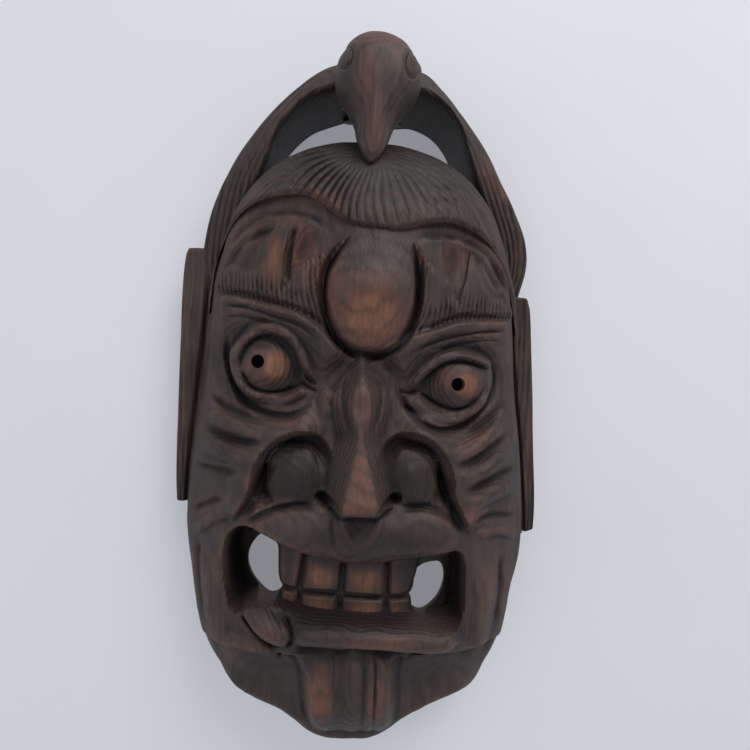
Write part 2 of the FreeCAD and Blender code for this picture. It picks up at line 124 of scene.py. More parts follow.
def ripple(u, v, size, seed):
    """Smooth bumps about `size` mm across, from -1 to 1."""
    lattice = np.random.default_rng(seed).uniform(-1, 1, (RIPPLE_REPEAT, RIPPLE_REPEAT))
    a, b = u / size + RIPPLE_START, v / size + RIPPLE_START
    i, j = np.floor(a).astype(int), np.floor(b).astype(int)
    a, b = ease(a - i), ease(b - j)

    def post(p, q):
        return lattice[p % RIPPLE_REPEAT, q % RIPPLE_REPEAT]

    near_side = post(i, j) * (1 - a) + post(i + 1, j) * a
    far_side = post(i, j + 1) * (1 - a) + post(i + 1, j + 1) * a
    return near_side * (1 - b) + far_side * b


# Points closer than this, in mm, are one point.
SAME_PLACE = 1e-6


def closest(x, z, line, reach):
    """Which points lie within reach of a line, and for each its distance, its place along the line
    from 0 to 1, and its side: 1 on the left of the line's direction, -1 on the right."""
    low, high = line.min(0) - reach, line.max(0) + reach
    at = np.flatnonzero((x > low[0]) & (x < high[0]) & (z > low[1]) & (z < high[1]))
    px, pz = x[at], z[at]
    steps = np.diff(line, axis=0)
    lengths = np.linalg.norm(steps, axis=1)
    walked = np.r_[0, np.cumsum(lengths)]
    best = np.full(len(at), np.inf)
    along, side = np.zeros(len(at)), np.ones(len(at))
    for (ax, az), (dx, dz), length, start in zip(line, steps, lengths, walked):
        if length < SAME_PLACE:
            continue
        t = np.clip(((px - ax) * dx + (pz - az) * dz) / length**2, 0, 1)
        ex, ez = px - ax - t * dx, pz - az - t * dz
        gap = ex * ex + ez * ez
        new = gap < best
        best[new] = gap[new]
        along[new] = start + t[new] * length
        side[new] = np.where(dx * ez - dz * ex >= 0, 1, -1)[new]
    gap = np.sqrt(best)
    keep = gap < reach
    return at[keep], gap[keep], along[keep] / walked[-1], side[keep]


# Distances to an outline are worked out this near to it, and held at this value beyond.
OUTLINE_REACH = 40


def inside(x, z, outline):
    """How far each point is inside a closed outline, in mm; negative outside."""
    ring = np.vstack([outline, outline[:1]])
    found = np.zeros(len(x), bool)
    for (ax, az), (bx, bz) in zip(ring, ring[1:]):
        crosses = (az > z) != (bz > z)
        if bz != az:
            found ^= crosses & (x < (bx - ax) * (z - az) / (bz - az) + ax)
    depth = np.where(found, float(OUTLINE_REACH), float(-OUTLINE_REACH))
    at, gap, _, _ = closest(x, z, ring, OUTLINE_REACH)
    depth[at] = np.where(found[at], gap, -gap)
    return depth


def oval(x, z, middle_x, middle_z, wide, tall, lean=0):
    """Places measured across and along an oval that leans, in degrees. Its rim is 1 from its middle."""
    c, s = math.cos(math.radians(lean)), math.sin(math.radians(lean))
    x, z = x - middle_x, z - middle_z
    return (x * c + z * s) / wide, (z * c - x * s) / tall


# How strongly the strokes and folds are cut.
VIGOUR = 1.25
# A rise lower than any part of the carving.
BELOW_ALL = -1e3


class Relief:
    """A carved surface: the rise at each (x, z)."""

    def __init__(self, x, z, rise):
        self.x, self.z, self.rise = x, z, rise

    def stroke(self, points, width, height, taper=0.2, power=1.5, closed=False):
        """A rounded ridge along a line, or a groove if height is negative."""
        line = smooth_line(points, closed)
        if closed:
            line = np.vstack([line, line[:1]])
        at, gap, along, _ = closest(self.x, self.z, line, width)
        ends = 1 if closed else ease(np.minimum(along, 1 - along) / taper)
        self.rise[at] += VIGOUR * height * (1 - (gap / width) ** 2) ** power * ends

    def fold(self, points, height, reach, edge=2.0, taper=0.15):
        """Raises the left of a line's direction, steeply at the line and fading over reach."""
        at, gap, along, side = closest(self.x, self.z, smooth_line(points), reach)
        raised = np.where(side > 0, 1 - ease(gap / reach), 1 - ease(gap / edge))
        self.rise[at] += VIGOUR * height * raised * ease(np.minimum(along, 1 - along) / taper)

    def mound(self, x, z, wide, tall, height, lean=0, power=1.5):
        """A rounded swelling, or a hollow if height is negative. Lean turns it, in degrees."""
        u, v = oval(self.x, self.z, x, z, wide, tall, lean)
        self.rise += height * np.clip(1 - u * u - v * v, 0, 1) ** power

    def ball(self, x, z, radius, centre, blend=1.5):
        """A ball whose centre has this rise, standing out of the surface."""
        gap = (self.x - x) ** 2 + (self.z - z) ** 2
        cap = centre + np.sqrt(np.clip(radius**2 - gap, 0, None))
        self.join(np.where(gap < radius**2, cap, BELOW_ALL), blend)

    def join(self, other, blend=2.0):
        """The higher of this surface and another, blended where they cross."""
        h = np.clip(0.5 + 0.5 * (self.rise - other) / blend, 0, 1)
        self.rise = other * (1 - h) + self.rise * h + blend * h * (1 - h)


def vault(x, z, crest, half, roundness=2.3):
    """An arched surface. Crest and half are (z, value) points for its rise and its half width."""
    part = np.clip(np.abs(x) / graph(z, half), 0, 1)
    return graph(z, crest) * (1 - part**roundness) ** (1 / roundness)


# ---------------------------------------------------------------- outlines


# Outlines seen from the front, closed but for the hairline.
FACE_OUTLINE = [
    (-60, 140), (-99, 112), (-108, 85), (-113, 60), (-116, 20), (-119, -12), (-124, -58), (-128, -98),
    (-127, -122), (-122, -146), (-117, -175), (-110, -198), (-101, -218), (-87, -234), (-67, -240),
    (-53, -242.5), (-42, -248.5), (-31, -256), (-19, -260), (2, -260.5), (17, -259), (28, -253.5),
    (39, -246.5), (54, -241), (76, -237), (92, -233), (102, -220), (109, -202), (115, -180), (119, -156),
    (124, -142), (128, -128), (128, -106), (124, -56), (119, -14), (116, 25), (112, 60), (108, 85),
    (99, 112), (60, 140), (0, 150),
]
HAIRLINE = [
    (-112, 58), (-111, 76), (-105, 94), (-92, 110), (-72, 118), (-46, 118.5), (-31, 112), (-14, 99.5),
    (10, 96), (23, 97), (42, 103), (60, 104.5), (80, 99), (95, 89), (107, 69), (113, 46),
]
HAIR_OUTLINE = [
    *HAIRLINE,
    (117, 34), (118, 58), (111, 84), (101, 110), (89, 129), (73, 145), (56, 155), (35, 163), (14, 169),
    (-14, 169), (-28, 166), (-50, 158), (-71, 146), (-88, 130), (-100, 111), (-109, 86), (-115, 60),
    (-114.5, 42),
]
MOUTH_POCKET = [
    (-92, -128), (-89, -113), (-82, -106), (-72, -104), (-62, -108), (-50, -114), (-34, -120),
    (-10, -124.5), (8, -125), (25, -123), (42, -121), (56, -119), (67, -118), (73, -127), (74, -150),
    (71, -168), (60, -170), (44, -165.5), (20, -162), (-10, -160.5), (-34, -159), (-50, -157),
    (-58, -153), (-72, -156), (-83, -164), (-89, -152),
]
LEFT_PIERCING = [
    (-64, -113), (-71, -117), (-77.5, -128), (-78.5, -139), (-73, -149), (-61, -156), (-52, -150),
    (-54, -140), (-55, -122),
]
RIGHT_PIERCING = [
    (42, -133), (56, -130), (62, -136), (63, -147), (58, -158), (47, -164.5), (38, -160), (34, -154),
    (39, -147),
]
CHIN_OUTLINE = [
    (-37, -186), (-33, -203), (-31, -222), (-29, -236), (-23, -247), (-13, -254), (0, -256), (13, -254),
    (22, -247), (27, -236), (26, -209), (24, -191), (0, -180),
]

# The hollow by height: its half width, and the rise it reaches.
HOLLOW_HALF = [
    (-222, 48), (-206, 70), (-180, 88), (-120, 104), (-60, 102), (0, 95), (40, 91), (80, 82), (96, 52),
]
HOLLOW_RISE = [
    (-222, 38), (-206, 63), (-180, 79), (-120, 81), (-60, 79), (0, 74), (40, 79), (80, 69), (96, 42),
]


def hollow_rise(x, z):
    """The rise of the hollow's inner surface, or 0 outside it."""
    part = np.clip(np.abs(x) / graph(z, HOLLOW_HALF), 0, 1)
    return graph(z, HOLLOW_RISE) * np.sqrt(1 - part**2)


# ---------------------------------------------------------------- the face


LEFT_EYE, RIGHT_EYE = (-66, 6), (66, -3)
LEFT_PUPIL, RIGHT_PUPIL = (-71.5, 7), (64, -4)
# Rise of the eyeballs' fronts, where the pupils are drilled.
EYE_FRONT = 92.5


def eyes(face):
    """Sockets, eyeballs and lids."""
    face.mound(-67, 4, 40, 40, -15, power=1.2)
    face.mound(64, -5, 40, 38, -15, power=1.2)
    for x, z in (LEFT_EYE, RIGHT_EYE):
        face.ball(x, z, 30, 60, blend=4)
        face.ball(x, z, 21, EYE_FRONT - 21, blend=1.5)
    # lids, close round the eyeballs
    face.stroke([(-37, -6), (-46, 16), (-58, 27), (-74, 28), (-86, 17), (-90, 4)], 6, 6, 0.12)
    face.stroke([(-38, -8), (-50, -16), (-64, -18), (-78, -14), (-88, -2)], 5, 5.0, 0.12)
    face.stroke([(31, -10), (42, 4), (54, 13), (66, 16.5), (80, 14), (93, 7)], 6, 6.5, 0.12)
    face.stroke([(33, -12), (46, -22), (62, -27), (76, -23), (86, -8)], 5.5, 5.0, 0.12)
    face.stroke([(-42, -5), (-48, 15), (-60, 24), (-73, 23), (-83, 12), (-84, 0)], 1.7, -2.2, 0.1)
    face.stroke([(36, -8), (46, 3), (56, 10), (67, 12), (80, 9.5), (91, 6)], 1.8, -3.2, 0.1)
    face.stroke([(-40, -6), (-52, -11.5), (-66, -13.5), (-78, -9), (-84, 2)], 1.6, -2.0, 0.1)
    face.stroke([(38, -10), (50, -17), (64, -21.5), (76, -17), (84, -6)], 1.6, -2.0, 0.1)
    # deep folds that ring the sockets
    face.stroke(
        [(-95, 30), (-97, 12), (-91, -8), (-79, -22), (-62, -29), (-44, -27), (-32, -14)], 3.2, -4.2, 0.2
    )
    face.stroke([(-94, 26), (-92, 8), (-86, -6), (-75, -18), (-62, -23), (-46, -22)], 4.0, 2.2, 0.2)
    face.stroke(
        [(95, 12), (92, -8), (84, -22), (70, -33), (52, -36), (36, -28), (25, -12), (24, 4)], 3.2, -4.2, 0.2
    )
    face.stroke([(91, 2), (86, -14), (76, -26), (60, -31), (44, -28), (33, -20)], 4.0, 2.2, 0.2)
    # creases at the corners next to the nose
    face.stroke([(-44, 6), (-38, -3), (-30, -8)], 2.2, -3.0, 0.3)
    face.stroke([(-46, -4), (-36, -10), (-28, -12)], 1.8, -2.2, 0.3)
    face.stroke([(23, -9), (31, -11), (40, -8)], 1.8, -2.4, 0.3)
    face.stroke([(24, -18), (34, -23), (46, -31)], 2.2, -2.2, 0.3)


def brow_shelf(face):
    """The overhang that the brows are carved on, and the lines under it."""
    left = [(-108, 50), (-90, 48), (-66, 42), (-47, 37), (-34, 30), (-22, 18), (-12, 8)]
    right = [(10, 10), (20, 18), (31, 25), (47, 30), (64, 36), (86, 38), (110, 40)]
    for shelf in (left, right):
        face.fold(shelf[::-1], 7, 32, edge=6, taper=0.1)
    face.stroke([(-104, 45), (-84, 44), (-62, 38), (-42, 31), (-28, 18)], 2.2, -2.4)
    face.stroke([(104, 35), (84, 33), (62, 29), (44, 23), (28, 14)], 2.2, -2.4)
    face.stroke([(-98, 38), (-80, 37), (-62, 33)], 1.8, -1.5)
    face.stroke([(100, 28), (82, 27), (62, 23), (48, 17)], 1.8, -1.5)


BOSS_GROOVE = [
    (-14, 90), (-23, 77), (-28.5, 64), (-29, 50), (-26, 36), (-20, 24), (-9, 15.5), (4, 13), (18, 17),
    (27, 27), (32.5, 42), (34, 58), (33, 76), (30, 90),
]
BOSS_RISE = 10.5


def forehead(face):
    """The boss in its deep groove, and the hollows between the flames of the brows."""
    face.mound(3, 78, 46, 46, 4.5)
    face.stroke(BOSS_GROOVE, 3.6, -6.5, 0.12, 1.0)
    u, v = oval(face.x, face.z, 2.5, 53, 31, 39.5)
    bulge = np.clip(1 - np.abs(u) ** 2.5 - np.abs(v) ** 2.5, 0, 1) ** 0.42
    # it sinks into the forehead towards its top
    face.rise += BOSS_RISE * bulge * (1 - 0.9 * ease((face.z - 50) / 46))
    # scooped hollows between the flames
    face.mound(-46, 82, 9, 20, -5, lean=-30)
    face.mound(-67, 100, 16, 7, -3, lean=35)
    face.mound(-74, 96, 14, 8, -3, lean=30)
    face.mound(58, 80, 9, 21, -4.5, lean=6)
    face.mound(92, 74, 9, 16, -5, lean=35)
    face.mound(-92, 84, 8, 14, -3, lean=-30)
    face.stroke([(-53, 58), (-53.5, 74), (-52, 88), (-48, 100)], 3.0, -2.4, 0.2)
    face.stroke([(-106, 74), (-97, 91), (-80, 104), (-58, 109), (-38, 104), (-22, 92)], 3.5, -1.8)
    face.stroke([(-104, 70), (-93, 87), (-76, 98), (-60, 101)], 3.5, 2.0)
    face.stroke([(26, 90), (46, 96), (66, 96), (86, 88), (101, 70), (110, 50)], 3.5, -1.6)
    face.stroke([(60, 92), (80, 86), (95, 70), (104, 54)], 3.5, 1.8)


# The ridge of the nose by height: its rise, the half width of its flat front, its middle, and how
# steeply its flanks fall.
NOSE_TOP = [
    (-120, 60), (-100, 84), (-89, 113), (-85, 130), (-70, 127), (-46, 119), (-30, 117), (-14, 113.5),
    (-2, 109), (6, 101), (16, 92),
]
NOSE_FLAT = [
    (-100, 13), (-84, 11.3), (-66, 7.2), (-50, 3.0), (-42, 1.3), (-34, 2.2), (-22, 5.2), (-12, 5.6),
    (-4, 2.0), (6, 1),
]
NOSE_MIDDLE = [(-90, -0.5), (-50, -1.5), (0, -2)]
NOSE_FLANK = [(-100, 2.8), (-84, 2.5), (-66, 2.0), (-50, 1.5), (-20, 1.25), (0, 1.1), (16, 0.8)]


def nose(face):
    """The ridge, its flat tip, the lobes and the folds that run from them to the mouth."""
    x, z = face.x, face.z
    face.mound(0, -30, 34, 40, 4)
    off = np.abs(x - graph(z, NOSE_MIDDLE))
    past_flat = np.clip(off - graph(z, NOSE_FLAT), 0, None)
    ridge = graph(z, NOSE_TOP) - 0.05 * off - graph(z, NOSE_FLANK) * past_flat
    face.join(np.where((z > -100) & (z < 16) & (off < 42), ridge, BELOW_ALL), 1.6)
    face.mound(-2, -10, 9, 11, 3)
    face.stroke([(-11, 0), (-14, -12), (-12, -26), (-8, -40)], 2.6, -2.0, 0.3)
    face.stroke([(8, 0), (11, -12), (9, -26), (5, -40)], 2.6, -2.0, 0.3)
    face.stroke([(-22, -8), (-26, -18), (-23, -30)], 5, 2.4, 0.3)
    # arched grooves over the lobes, and the lobes
    left_arch = [(-60, -94), (-66, -80), (-64, -62), (-52, -48), (-36, -44), (-27, -52), (-24.5, -66)]
    right_arch = [(52, -92), (57, -78), (54, -61), (43, -47), (28, -43), (18, -51), (15.5, -65)]
    for arch in (left_arch, right_arch):
        face.stroke(arch, 6.5, -7.5, 0.18, 1.0)
    for lobe_x, lobe_z, wide in ((-43.5, -68, 21), (34.5, -67, 19.5)):
        u, v = oval(x, z, lobe_x, lobe_z, wide, 22)
        gap = np.abs(u) ** 2.2 + np.abs(v) ** 2.2
        cap = 88 + 13 * np.clip(1 - gap, 0, None) ** 0.72 - 0.10 * (z - lobe_z)
        face.join(np.where(gap < 1, cap, BELOW_ALL), 5)
    # nostrils
    face.mound(-21, -83, 10, 5, -13, lean=-18, power=0.8)
    face.mound(18, -82.5, 10, 5, -13, lean=18, power=0.8)
    # folds from the nose round the lobes to the corners of the mouth
    left = [(-22, -40), (-33, -40), (-48, -42), (-62, -54), (-71, -70), (-78, -86), (-90, -104)]
    right = [(80, -108), (70, -92), (62, -76), (56, -60), (47, -46), (34, -41), (20, -40)]
    for crease in (left, right):
        face.fold(crease[::-1], 8.5, 26, edge=3.5, taper=0.18)
    face.stroke([(-58, -58), (-67, -74), (-72, -88), (-80, -100)], 4.5, -4, 0.25)
    face.stroke([(49, -56), (56, -72), (62, -88), (72, -104)], 4.5, -5, 0.25)
    face.stroke([(54, -62), (60, -78), (66, -94)], 1.3, -1.8, 0.25)


def cheeks(face):
    """Swellings and wrinkles of the cheeks."""
    face.mound(-92, -56, 30, 34, 5)
    face.mound(88, -62, 28, 34, 5)
    for points in (
        [(-60, -40), (-84, -38), (-112, -27)],
        [(-72, -58), (-94, -54), (-118, -48)],
        [(58, -52), (76, -48), (94, -36), (108, -28)],
        [(64, -70), (82, -64), (100, -56), (116, -52)],
        [(70, -86), (92, -80), (116, -74)],
    ):
        face.stroke(points, 7.5, 4.2, 0.3)
    for points in (
        [(-62, -47), (-86, -47), (-114, -38)],
        [(-76, -68), (-98, -68), (-122, -66)],
        [(58, -61), (78, -56), (96, -46), (112, -38)],
        [(66, -79), (86, -72), (104, -66), (118, -63)],
        [(-66, -33), (-92, -26), (-112, -14)],
        [(66, -40), (88, -30), (106, -14)],
    ):
        face.stroke(points, 4.4, -2.8, 0.3)
    face.stroke([(-88, -84), (-104, -92), (-122, -102)], 4, -2.2, 0.3)
    face.stroke([(-84, -92), (-102, -102), (-120, -116)], 5, 3, 0.25)
    face.stroke([(74, -100), (94, -96), (118, -100)], 4, -2.2, 0.3)
    face.stroke([(78, -110), (98, -106), (120, -114)], 5, 3, 0.25)


# Wood left between the floor of the mouth's pocket and the hollow.
POCKET_WALL = 5.5


def mouth(face):
    """Lips round a sunken pocket, and the struts of the jaw beside it."""
    x, z = face.x, face.z
    upper_lip = [(-84, -106), (-58, -100), (-30, -103), (0, -107), (30, -104), (52, -103), (76, -112)]
    face.stroke(upper_lip, 18, 6.0, 0.12, 0.8)
    face.stroke([(-80, -103), (-60, -92), (-44, -87), (-28, -88)], 3.2, -3.6, 0.2)
    face.stroke([(26, -88), (44, -87), (58, -92), (72, -106)], 3.2, -3.6, 0.2)
    # the V under the nose
    face.mound(0.5, -98, 9, 12, -1.8)
    face.stroke([(-12, -88), (-9, -102), (-4, -110), (0, -114)], 3.6, 1.5, 0.3)
    face.stroke([(15, -88), (11, -100), (6, -108), (1, -114)], 3.6, 1.5, 0.3)
    face.stroke([(-19, -90), (-18, -102), (-16, -116)], 2.6, -1.2, 0.3)
    # lower lip: a lobe on the left, a long roll on the right
    face.stroke(
        [(-50, -169), (-22, -169.5), (10, -170.5), (34, -173), (56, -176), (76, -173)], 9.0, 10.5, 0.14, 0.6
    )
    face.stroke([(-10, -181), (12, -184), (34, -188.5), (56, -189), (74, -184)], 4.0, -7.5, 0.2)
    face.stroke([(-44, -182), (-20, -184), (8, -187), (26, -189)], 3.8, -5, 0.25)
    face.mound(-60, -167, 21, 11, 12, lean=-34, power=0.9)
    face.stroke([(-78, -163), (-66, -175), (-51, -183)], 2.6, -6, 0.2)
    face.stroke([(-48, -160), (-42, -172), (-46, -184)], 2.4, -3, 0.25)
    # the ledge under the lobe
    face.fold([(-90, -185), (-72, -186), (-50, -186)], 4, 10, edge=2, taper=0.2)
    face.stroke([(-50, -184), (-51, -192), (-53, -200)], 2.4, -2.4, 0.3)
    # pocket
    pocket = inside(x, z, smooth_line(MOUTH_POCKET, True))
    floor = hollow_rise(x, z) + POCKET_WALL
    depth = ease((pocket + 1.0) / 4.5)
    sunk = face.rise * (1 - depth) + np.minimum(face.rise, floor) * depth
    face.rise = np.where(pocket > -1.5, sunk, face.rise)


# The chin's long facets, as rise by x, and how far its foot falls back, by height.
CHIN_FACETS = [
    (-40, 90), (-33, 97), (-17, 99), (-13, 94.5), (-7, 94), (-1, 100), (4, 97), (7, 95), (11, 100.5),
    (14, 96), (17, 99.5), (22, 98), (28, 92),
]
CHIN_FALL = [(-270, 50), (-258, 33), (-248, 19), (-238, 10), (-226, 4), (-210, 1), (-195, 0), (-180, 3)]
CHIN_RISE = 97
JAW_CUT_BACK = 15


def jaw(face):
    """The chin knob with its long facets, standing out of a jaw that is cut back."""
    x, z = face.x, face.z
    face.rise -= JAW_CUT_BACK * ease((-186 - z) / 8) * ease((118 - np.abs(x)) / 20) * ease((z + 268) / 38)
    face.stroke([(24, -190), (46, -192), (82, -194), (100, -192)], 3.4, 3.2, 0.2)
    face.mound(-62, -216, 30, 24, -7)
    face.mound(56, -216, 30, 24, -7)
    knob = inside(x, z, smooth_line(CHIN_OUTLINE, True))
    facets = CHIN_RISE + 0.5 * (graph(x, CHIN_FACETS) - CHIN_RISE) * ease((z + 262) / 34)
    facets -= graph(z, CHIN_FALL)
    shown = ease((knob + 6) / 11)
    standing = face.rise + np.clip(facets - face.rise, 0, None) * shown
    face.rise = np.where(knob > -6, standing, face.rise)
    face.mound(-24, -216, 8, 22, -2.2)
    # facets on the struts
    face.stroke([(-104, -118), (-102, -150), (-96, -182), (-88, -206)], 10, 3.5, 0.25)
    face.stroke([(88, -124), (90, -150), (88, -178), (84, -200)], 9, 3.5, 0.25)
    face.stroke([(102, -120), (104, -150), (100, -182)], 4, -2.4, 0.25)
    face.stroke([(-112, -112), (-112, -146), (-106, -178)], 4, -2.0, 0.25)


# The face's dome by height: the rise of its crest, and its half width.
FACE_CREST = [
    (-285, 60), (-258, 78), (-230, 93), (-180, 99), (-120, 99), (-60, 97), (0, 94), (60, 99), (100, 98),
    (150, 92),
]
FACE_HALF = [
    (-285, 70), (-258, 92), (-230, 118), (-180, 131), (-120, 139), (-60, 139), (0, 132), (60, 127),
    (100, 116), (150, 96),
]


def face_rise(x, z):
    """The whole carved front of the face."""
    face = Relief(x, z, vault(x, z, FACE_CREST, FACE_HALF))
    brow_shelf(face)
    eyes(face)
    forehead(face)
    nose(face)
    cheeks(face)
    mouth(face)
    jaw(face)
    # softened sawn edge
    edge = inside(x, z, smooth_line(FACE_OUTLINE, True))
    face.rise -= 9 * (1 - ease((edge + 1) / 10)) ** 2
    face.rise += 0.35 * ripple(x, z, 8, 3) + 0.22 * ripple(x, z * 0.5, 3.1, 4)
    return face.rise


# ---------------------------------------------------------------- brows and hair


LEFT_BROW = [
    (-108, 56), (-90, 53), (-66, 46.5), (-47, 41), (-34, 34.5), (-24, 25), (-14, 14), (-21, 26),
    (-27, 40), (-29.5, 56), (-27, 71), (-21, 80), (-13, 91), (-26, 81), (-40, 74), (-48, 66),
    (-55, 57.5), (-56.5, 66), (-56, 80), (-51, 97), (-61, 91), (-68, 83), (-74, 73), (-79, 70),
    (-90, 74), (-98, 72), (-106, 66),
]
RIGHT_BROW = [
    (112, 45), (88, 42), (64, 40), (47, 33), (33, 27), (19, 13), (29, 27), (34.5, 42), (36, 60),
    (34, 76), (30, 89), (38, 79), (48, 71), (56, 62), (62, 53), (67, 66), (71, 86), (78, 74), (85, 63),
    (91, 58), (101, 58), (108, 53),
]


# The first points of each brow's outline run along its lower edge.
LOWER_EDGE = 7
BROW_THICKNESS = 3.2


def brow_rise(x, z, outline, spacing, depth):
    """A brow's surface: the face below it, thickened, and hatched with fine V cuts."""
    rise = face_rise(x, z)
    edge = inside(x, z, smooth_line(outline, True))
    body = rise + BROW_THICKNESS + 1.6 * ease(edge / 6)
    at, gap, _, _ = closest(x, z, smooth_line(outline[:LOWER_EDGE]), 30)
    near_edge = np.zeros(len(x))
    near_edge[at] = 1 - ease((gap - 9) / 12)
    inner = ease((46 - np.abs(x)) / 10)
    body[at] -= BROW_THICKNESS * (1 - ease((gap + 0.5) / 6))
    strength = np.maximum(near_edge, inner)
    bend = 15 * np.clip((58 - z) / 44, 0, 1.2) ** 2 * inner - 0.09 * (z - 50)
    run = (np.abs(x) + bend) / spacing + 0.18 * ripple(x, z, 9, 11)
    cut = 1 - np.abs(2 * (run % 1) - 1)
    uneven = 0.75 + 0.25 * ripple(x, z * 0.2, 3, 12)
    return body - depth * strength * uneven * np.clip(1 - 1.5 * cut, 0, 1) ** 0.8


# The hair's dome by height, in the same way.
HAIR_CREST = [
    (20, 96), (60, 100), (96, 104), (120, 102), (140, 95), (154, 84), (164, 72), (172, 58), (190, 40),
]
HAIR_HALF = [(20, 128), (60, 124), (96, 114), (120, 106), (144, 92), (160, 78), (172, 62), (190, 40)]
STRANDS_FROM = (0, 158)
# Strands to each radian.
WIDE_STRANDS, FINE_STRANDS = 7.0, 19


def hair_rise(x, z, depth):
    """The hair: a cap that laps over the forehead, its strands spreading from under the beak."""
    rise = vault(x, z, HAIR_CREST, HAIR_HALF, 2.5)
    edge = inside(x, z, smooth_line(HAIR_OUTLINE, True))
    dx, dz = x - STRANDS_FROM[0], STRANDS_FROM[1] - z
    reach = np.hypot(dx, dz)
    angle = np.arctan2(dx, dz)
    strand = angle + 0.0058 * reach * np.sin(angle)
    strand += 0.05 * ripple(x, z, 30, 21)
    wide = strand * WIDE_STRANDS + 0.9 * ripple(strand * 50, reach, 46, 22)
    fine = strand * FINE_STRANDS + 0.7 * ripple(strand * 80, reach, 40, 23)
    uneven = 0.6 + 0.6 * ripple(np.floor(wide + 0.5) * 7.3, reach, 40, 26)
    deep, thin = valley(wide, 3.0), valley(fine, 2.0)
    grown = ease((reach - 16) / 26) * ease((160 - z) / 10)
    tuft = ease((66 - np.abs(x)) / 26)
    rise -= depth * (0.45 + 0.8 * tuft) * grown * uneven * deep
    rise -= depth * 0.36 * ease((reach - 34) / 30) * thin * (0.6 + 0.5 * ripple(x, z, 18, 24))
    rise += 2.2 * ease((14 - np.abs(dx)) / 14) * ease((30 - reach) / 30)
    rise -= 3.4 * (1 - ease((edge + 0.5) / 4.5)) ** 2
    # stays thicker at the hairline, in the middle
    at, gap, _, _ = closest(x, z, smooth_line(HAIRLINE), 26)
    rise[at] += 1.2 * (1 - ease(gap / 26)) * ease((100 - np.abs(x[at])) / 40)
    return rise + 0.25 * ripple(x, z, 6, 25)


# ---------------------------------------------------------------- making meshes


def finish_mesh(name, bm):
    """Turns a bmesh into an object, with outward faces and smooth shading."""
    bm.normal_update()
    bmesh.ops.recalc_face_normals(bm, faces=bm.faces)
    if bm.calc_volume(signed=True) < 0:
        bmesh.ops.reverse_faces(bm, faces=bm.faces)
    mesh = bpy.data.meshes.new(name)
    bm.to_mesh(mesh)
    bm.free()
    mesh.shade_smooth()
    piece = bpy.data.objects.new(name, mesh)
    bpy.context.scene.collection.objects.link(piece)
    return piece


def in_frame(x, z, rise):
    """Places in the frame, in metres, for reliefs' x, z and rise in mm."""
    return np.column_stack([x, -rise, z + EYE_LINE]) * MM


def set_places(bm, places):
    """Moves each point of a bmesh to its own place."""
    for vert, place in zip(bm.verts, places):
        vert.co = place


def places_of(bm):
    """The places of a bmesh's points, one to a row."""
    return np.array([v.co for v in bm.verts])


# Flat backs are parted into cells of about this many grid steps, so that no face is very large.
BACK_CELL = 14


def relief_block(name, x_span, z_span, step, surface, back=0.0, thickness=None):
    """A block of wood whose front is the surface. Its back is flat, or follows the front if it has
    a thickness."""
    bm = bmesh.new()
    across = round((x_span[1] - x_span[0]) / step)
    up = round((z_span[1] - z_span[0]) / step)
    bmesh.ops.create_grid(bm, x_segments=across, y_segments=up, size=1)
    front = len(bm.verts)
    if thickness:
        bmesh.ops.extrude_face_region(bm, geom=bm.faces[:], use_keep_orig=True)
    else:
        border = [e for e in bm.edges if e.is_boundary]
        made = bmesh.ops.extrude_edge_only(bm, edges=border)
        rim = [e for e in made["geom"] if isinstance(e, bmesh.types.BMEdge) and e.is_boundary]
        cells = bmesh.ops.edgeloop_fill(bm, edges=rim)["faces"]
        for way, count in (((1, 0, 0), across // BACK_CELL), ((0, 1, 0), up // BACK_CELL)):
            for part in np.linspace(-1, 1, count + 1)[1:-1]:
                edges = dict.fromkeys(e for f in cells for e in f.edges)
                verts = dict.fromkeys(v for e in edges for v in e.verts)
                whole = [*verts, *edges, *cells]
                place = Vector(way) * float(part)
                cut = bmesh.ops.bisect_plane(bm, geom=whole, plane_co=place, plane_no=way)
                cells = [f for f in cut["geom"] if isinstance(f, bmesh.types.BMFace)]
    grid = places_of(bm)
    x = np.interp(grid[:, 0], (-1, 1), x_span)
    z = np.interp(grid[:, 1], (-1, 1), z_span)
    shape = surface(x[:front], z[:front])
    rise = np.concatenate([shape, shape - thickness]) if thickness else np.full(len(x), float(back))
    rise[:front] = shape
    set_places(bm, in_frame(x, z, rise))
    return finish_mesh(name, bm)


def outline_prism(name, outline, low, high, step=1.5):
    """A prism of a closed outline between two rises."""
    line = smooth_line(outline, True, step)
    bm = bmesh.new()
    bmesh.ops.create_circle(bm, cap_ends=True, segments=len(line), radius=1)
    set_places(bm, in_frame(line[:, 0], line[:, 1], np.full(len(line), float(low))))
    made = bmesh.ops.extrude_face_region(bm, geom=bm.faces[:], use_keep_orig=True)
    moved = [v for v in made["geom"] if isinstance(v, bmesh.types.BMVert)]
    bmesh.ops.translate(bm, verts=moved, vec=(0, (low - high) * MM, 0))
    return finish_mesh(name, bm)


def combine(piece, tool, operation):
    """Cuts piece with a closed tool, keeps what they share, or joins them, and uses the tool up."""
    modifier = piece.modifiers.new("combine", "BOOLEAN")
    modifier.operation = operation
    modifier.solver = "MANIFOLD"
    modifier.object = tool
    bpy.context.view_layer.update()
    worked_out = piece.evaluated_get(bpy.context.evaluated_depsgraph_get())
    mesh = bpy.data.meshes.new_from_object(worked_out)
    if len(mesh.polygons) == 0:
        raise RuntimeError(f"{piece.name} has nothing left after {tool.name}")
    old = piece.data
    piece.modifiers.clear()
    piece.data = mesh
    mesh.name = piece.name
    bpy.data.meshes.remove(old)
    bpy.data.objects.remove(tool)
    return piece


# Points of a mesh nearer than this, in metres, are merged.
MERGE_GAP = 1e-7


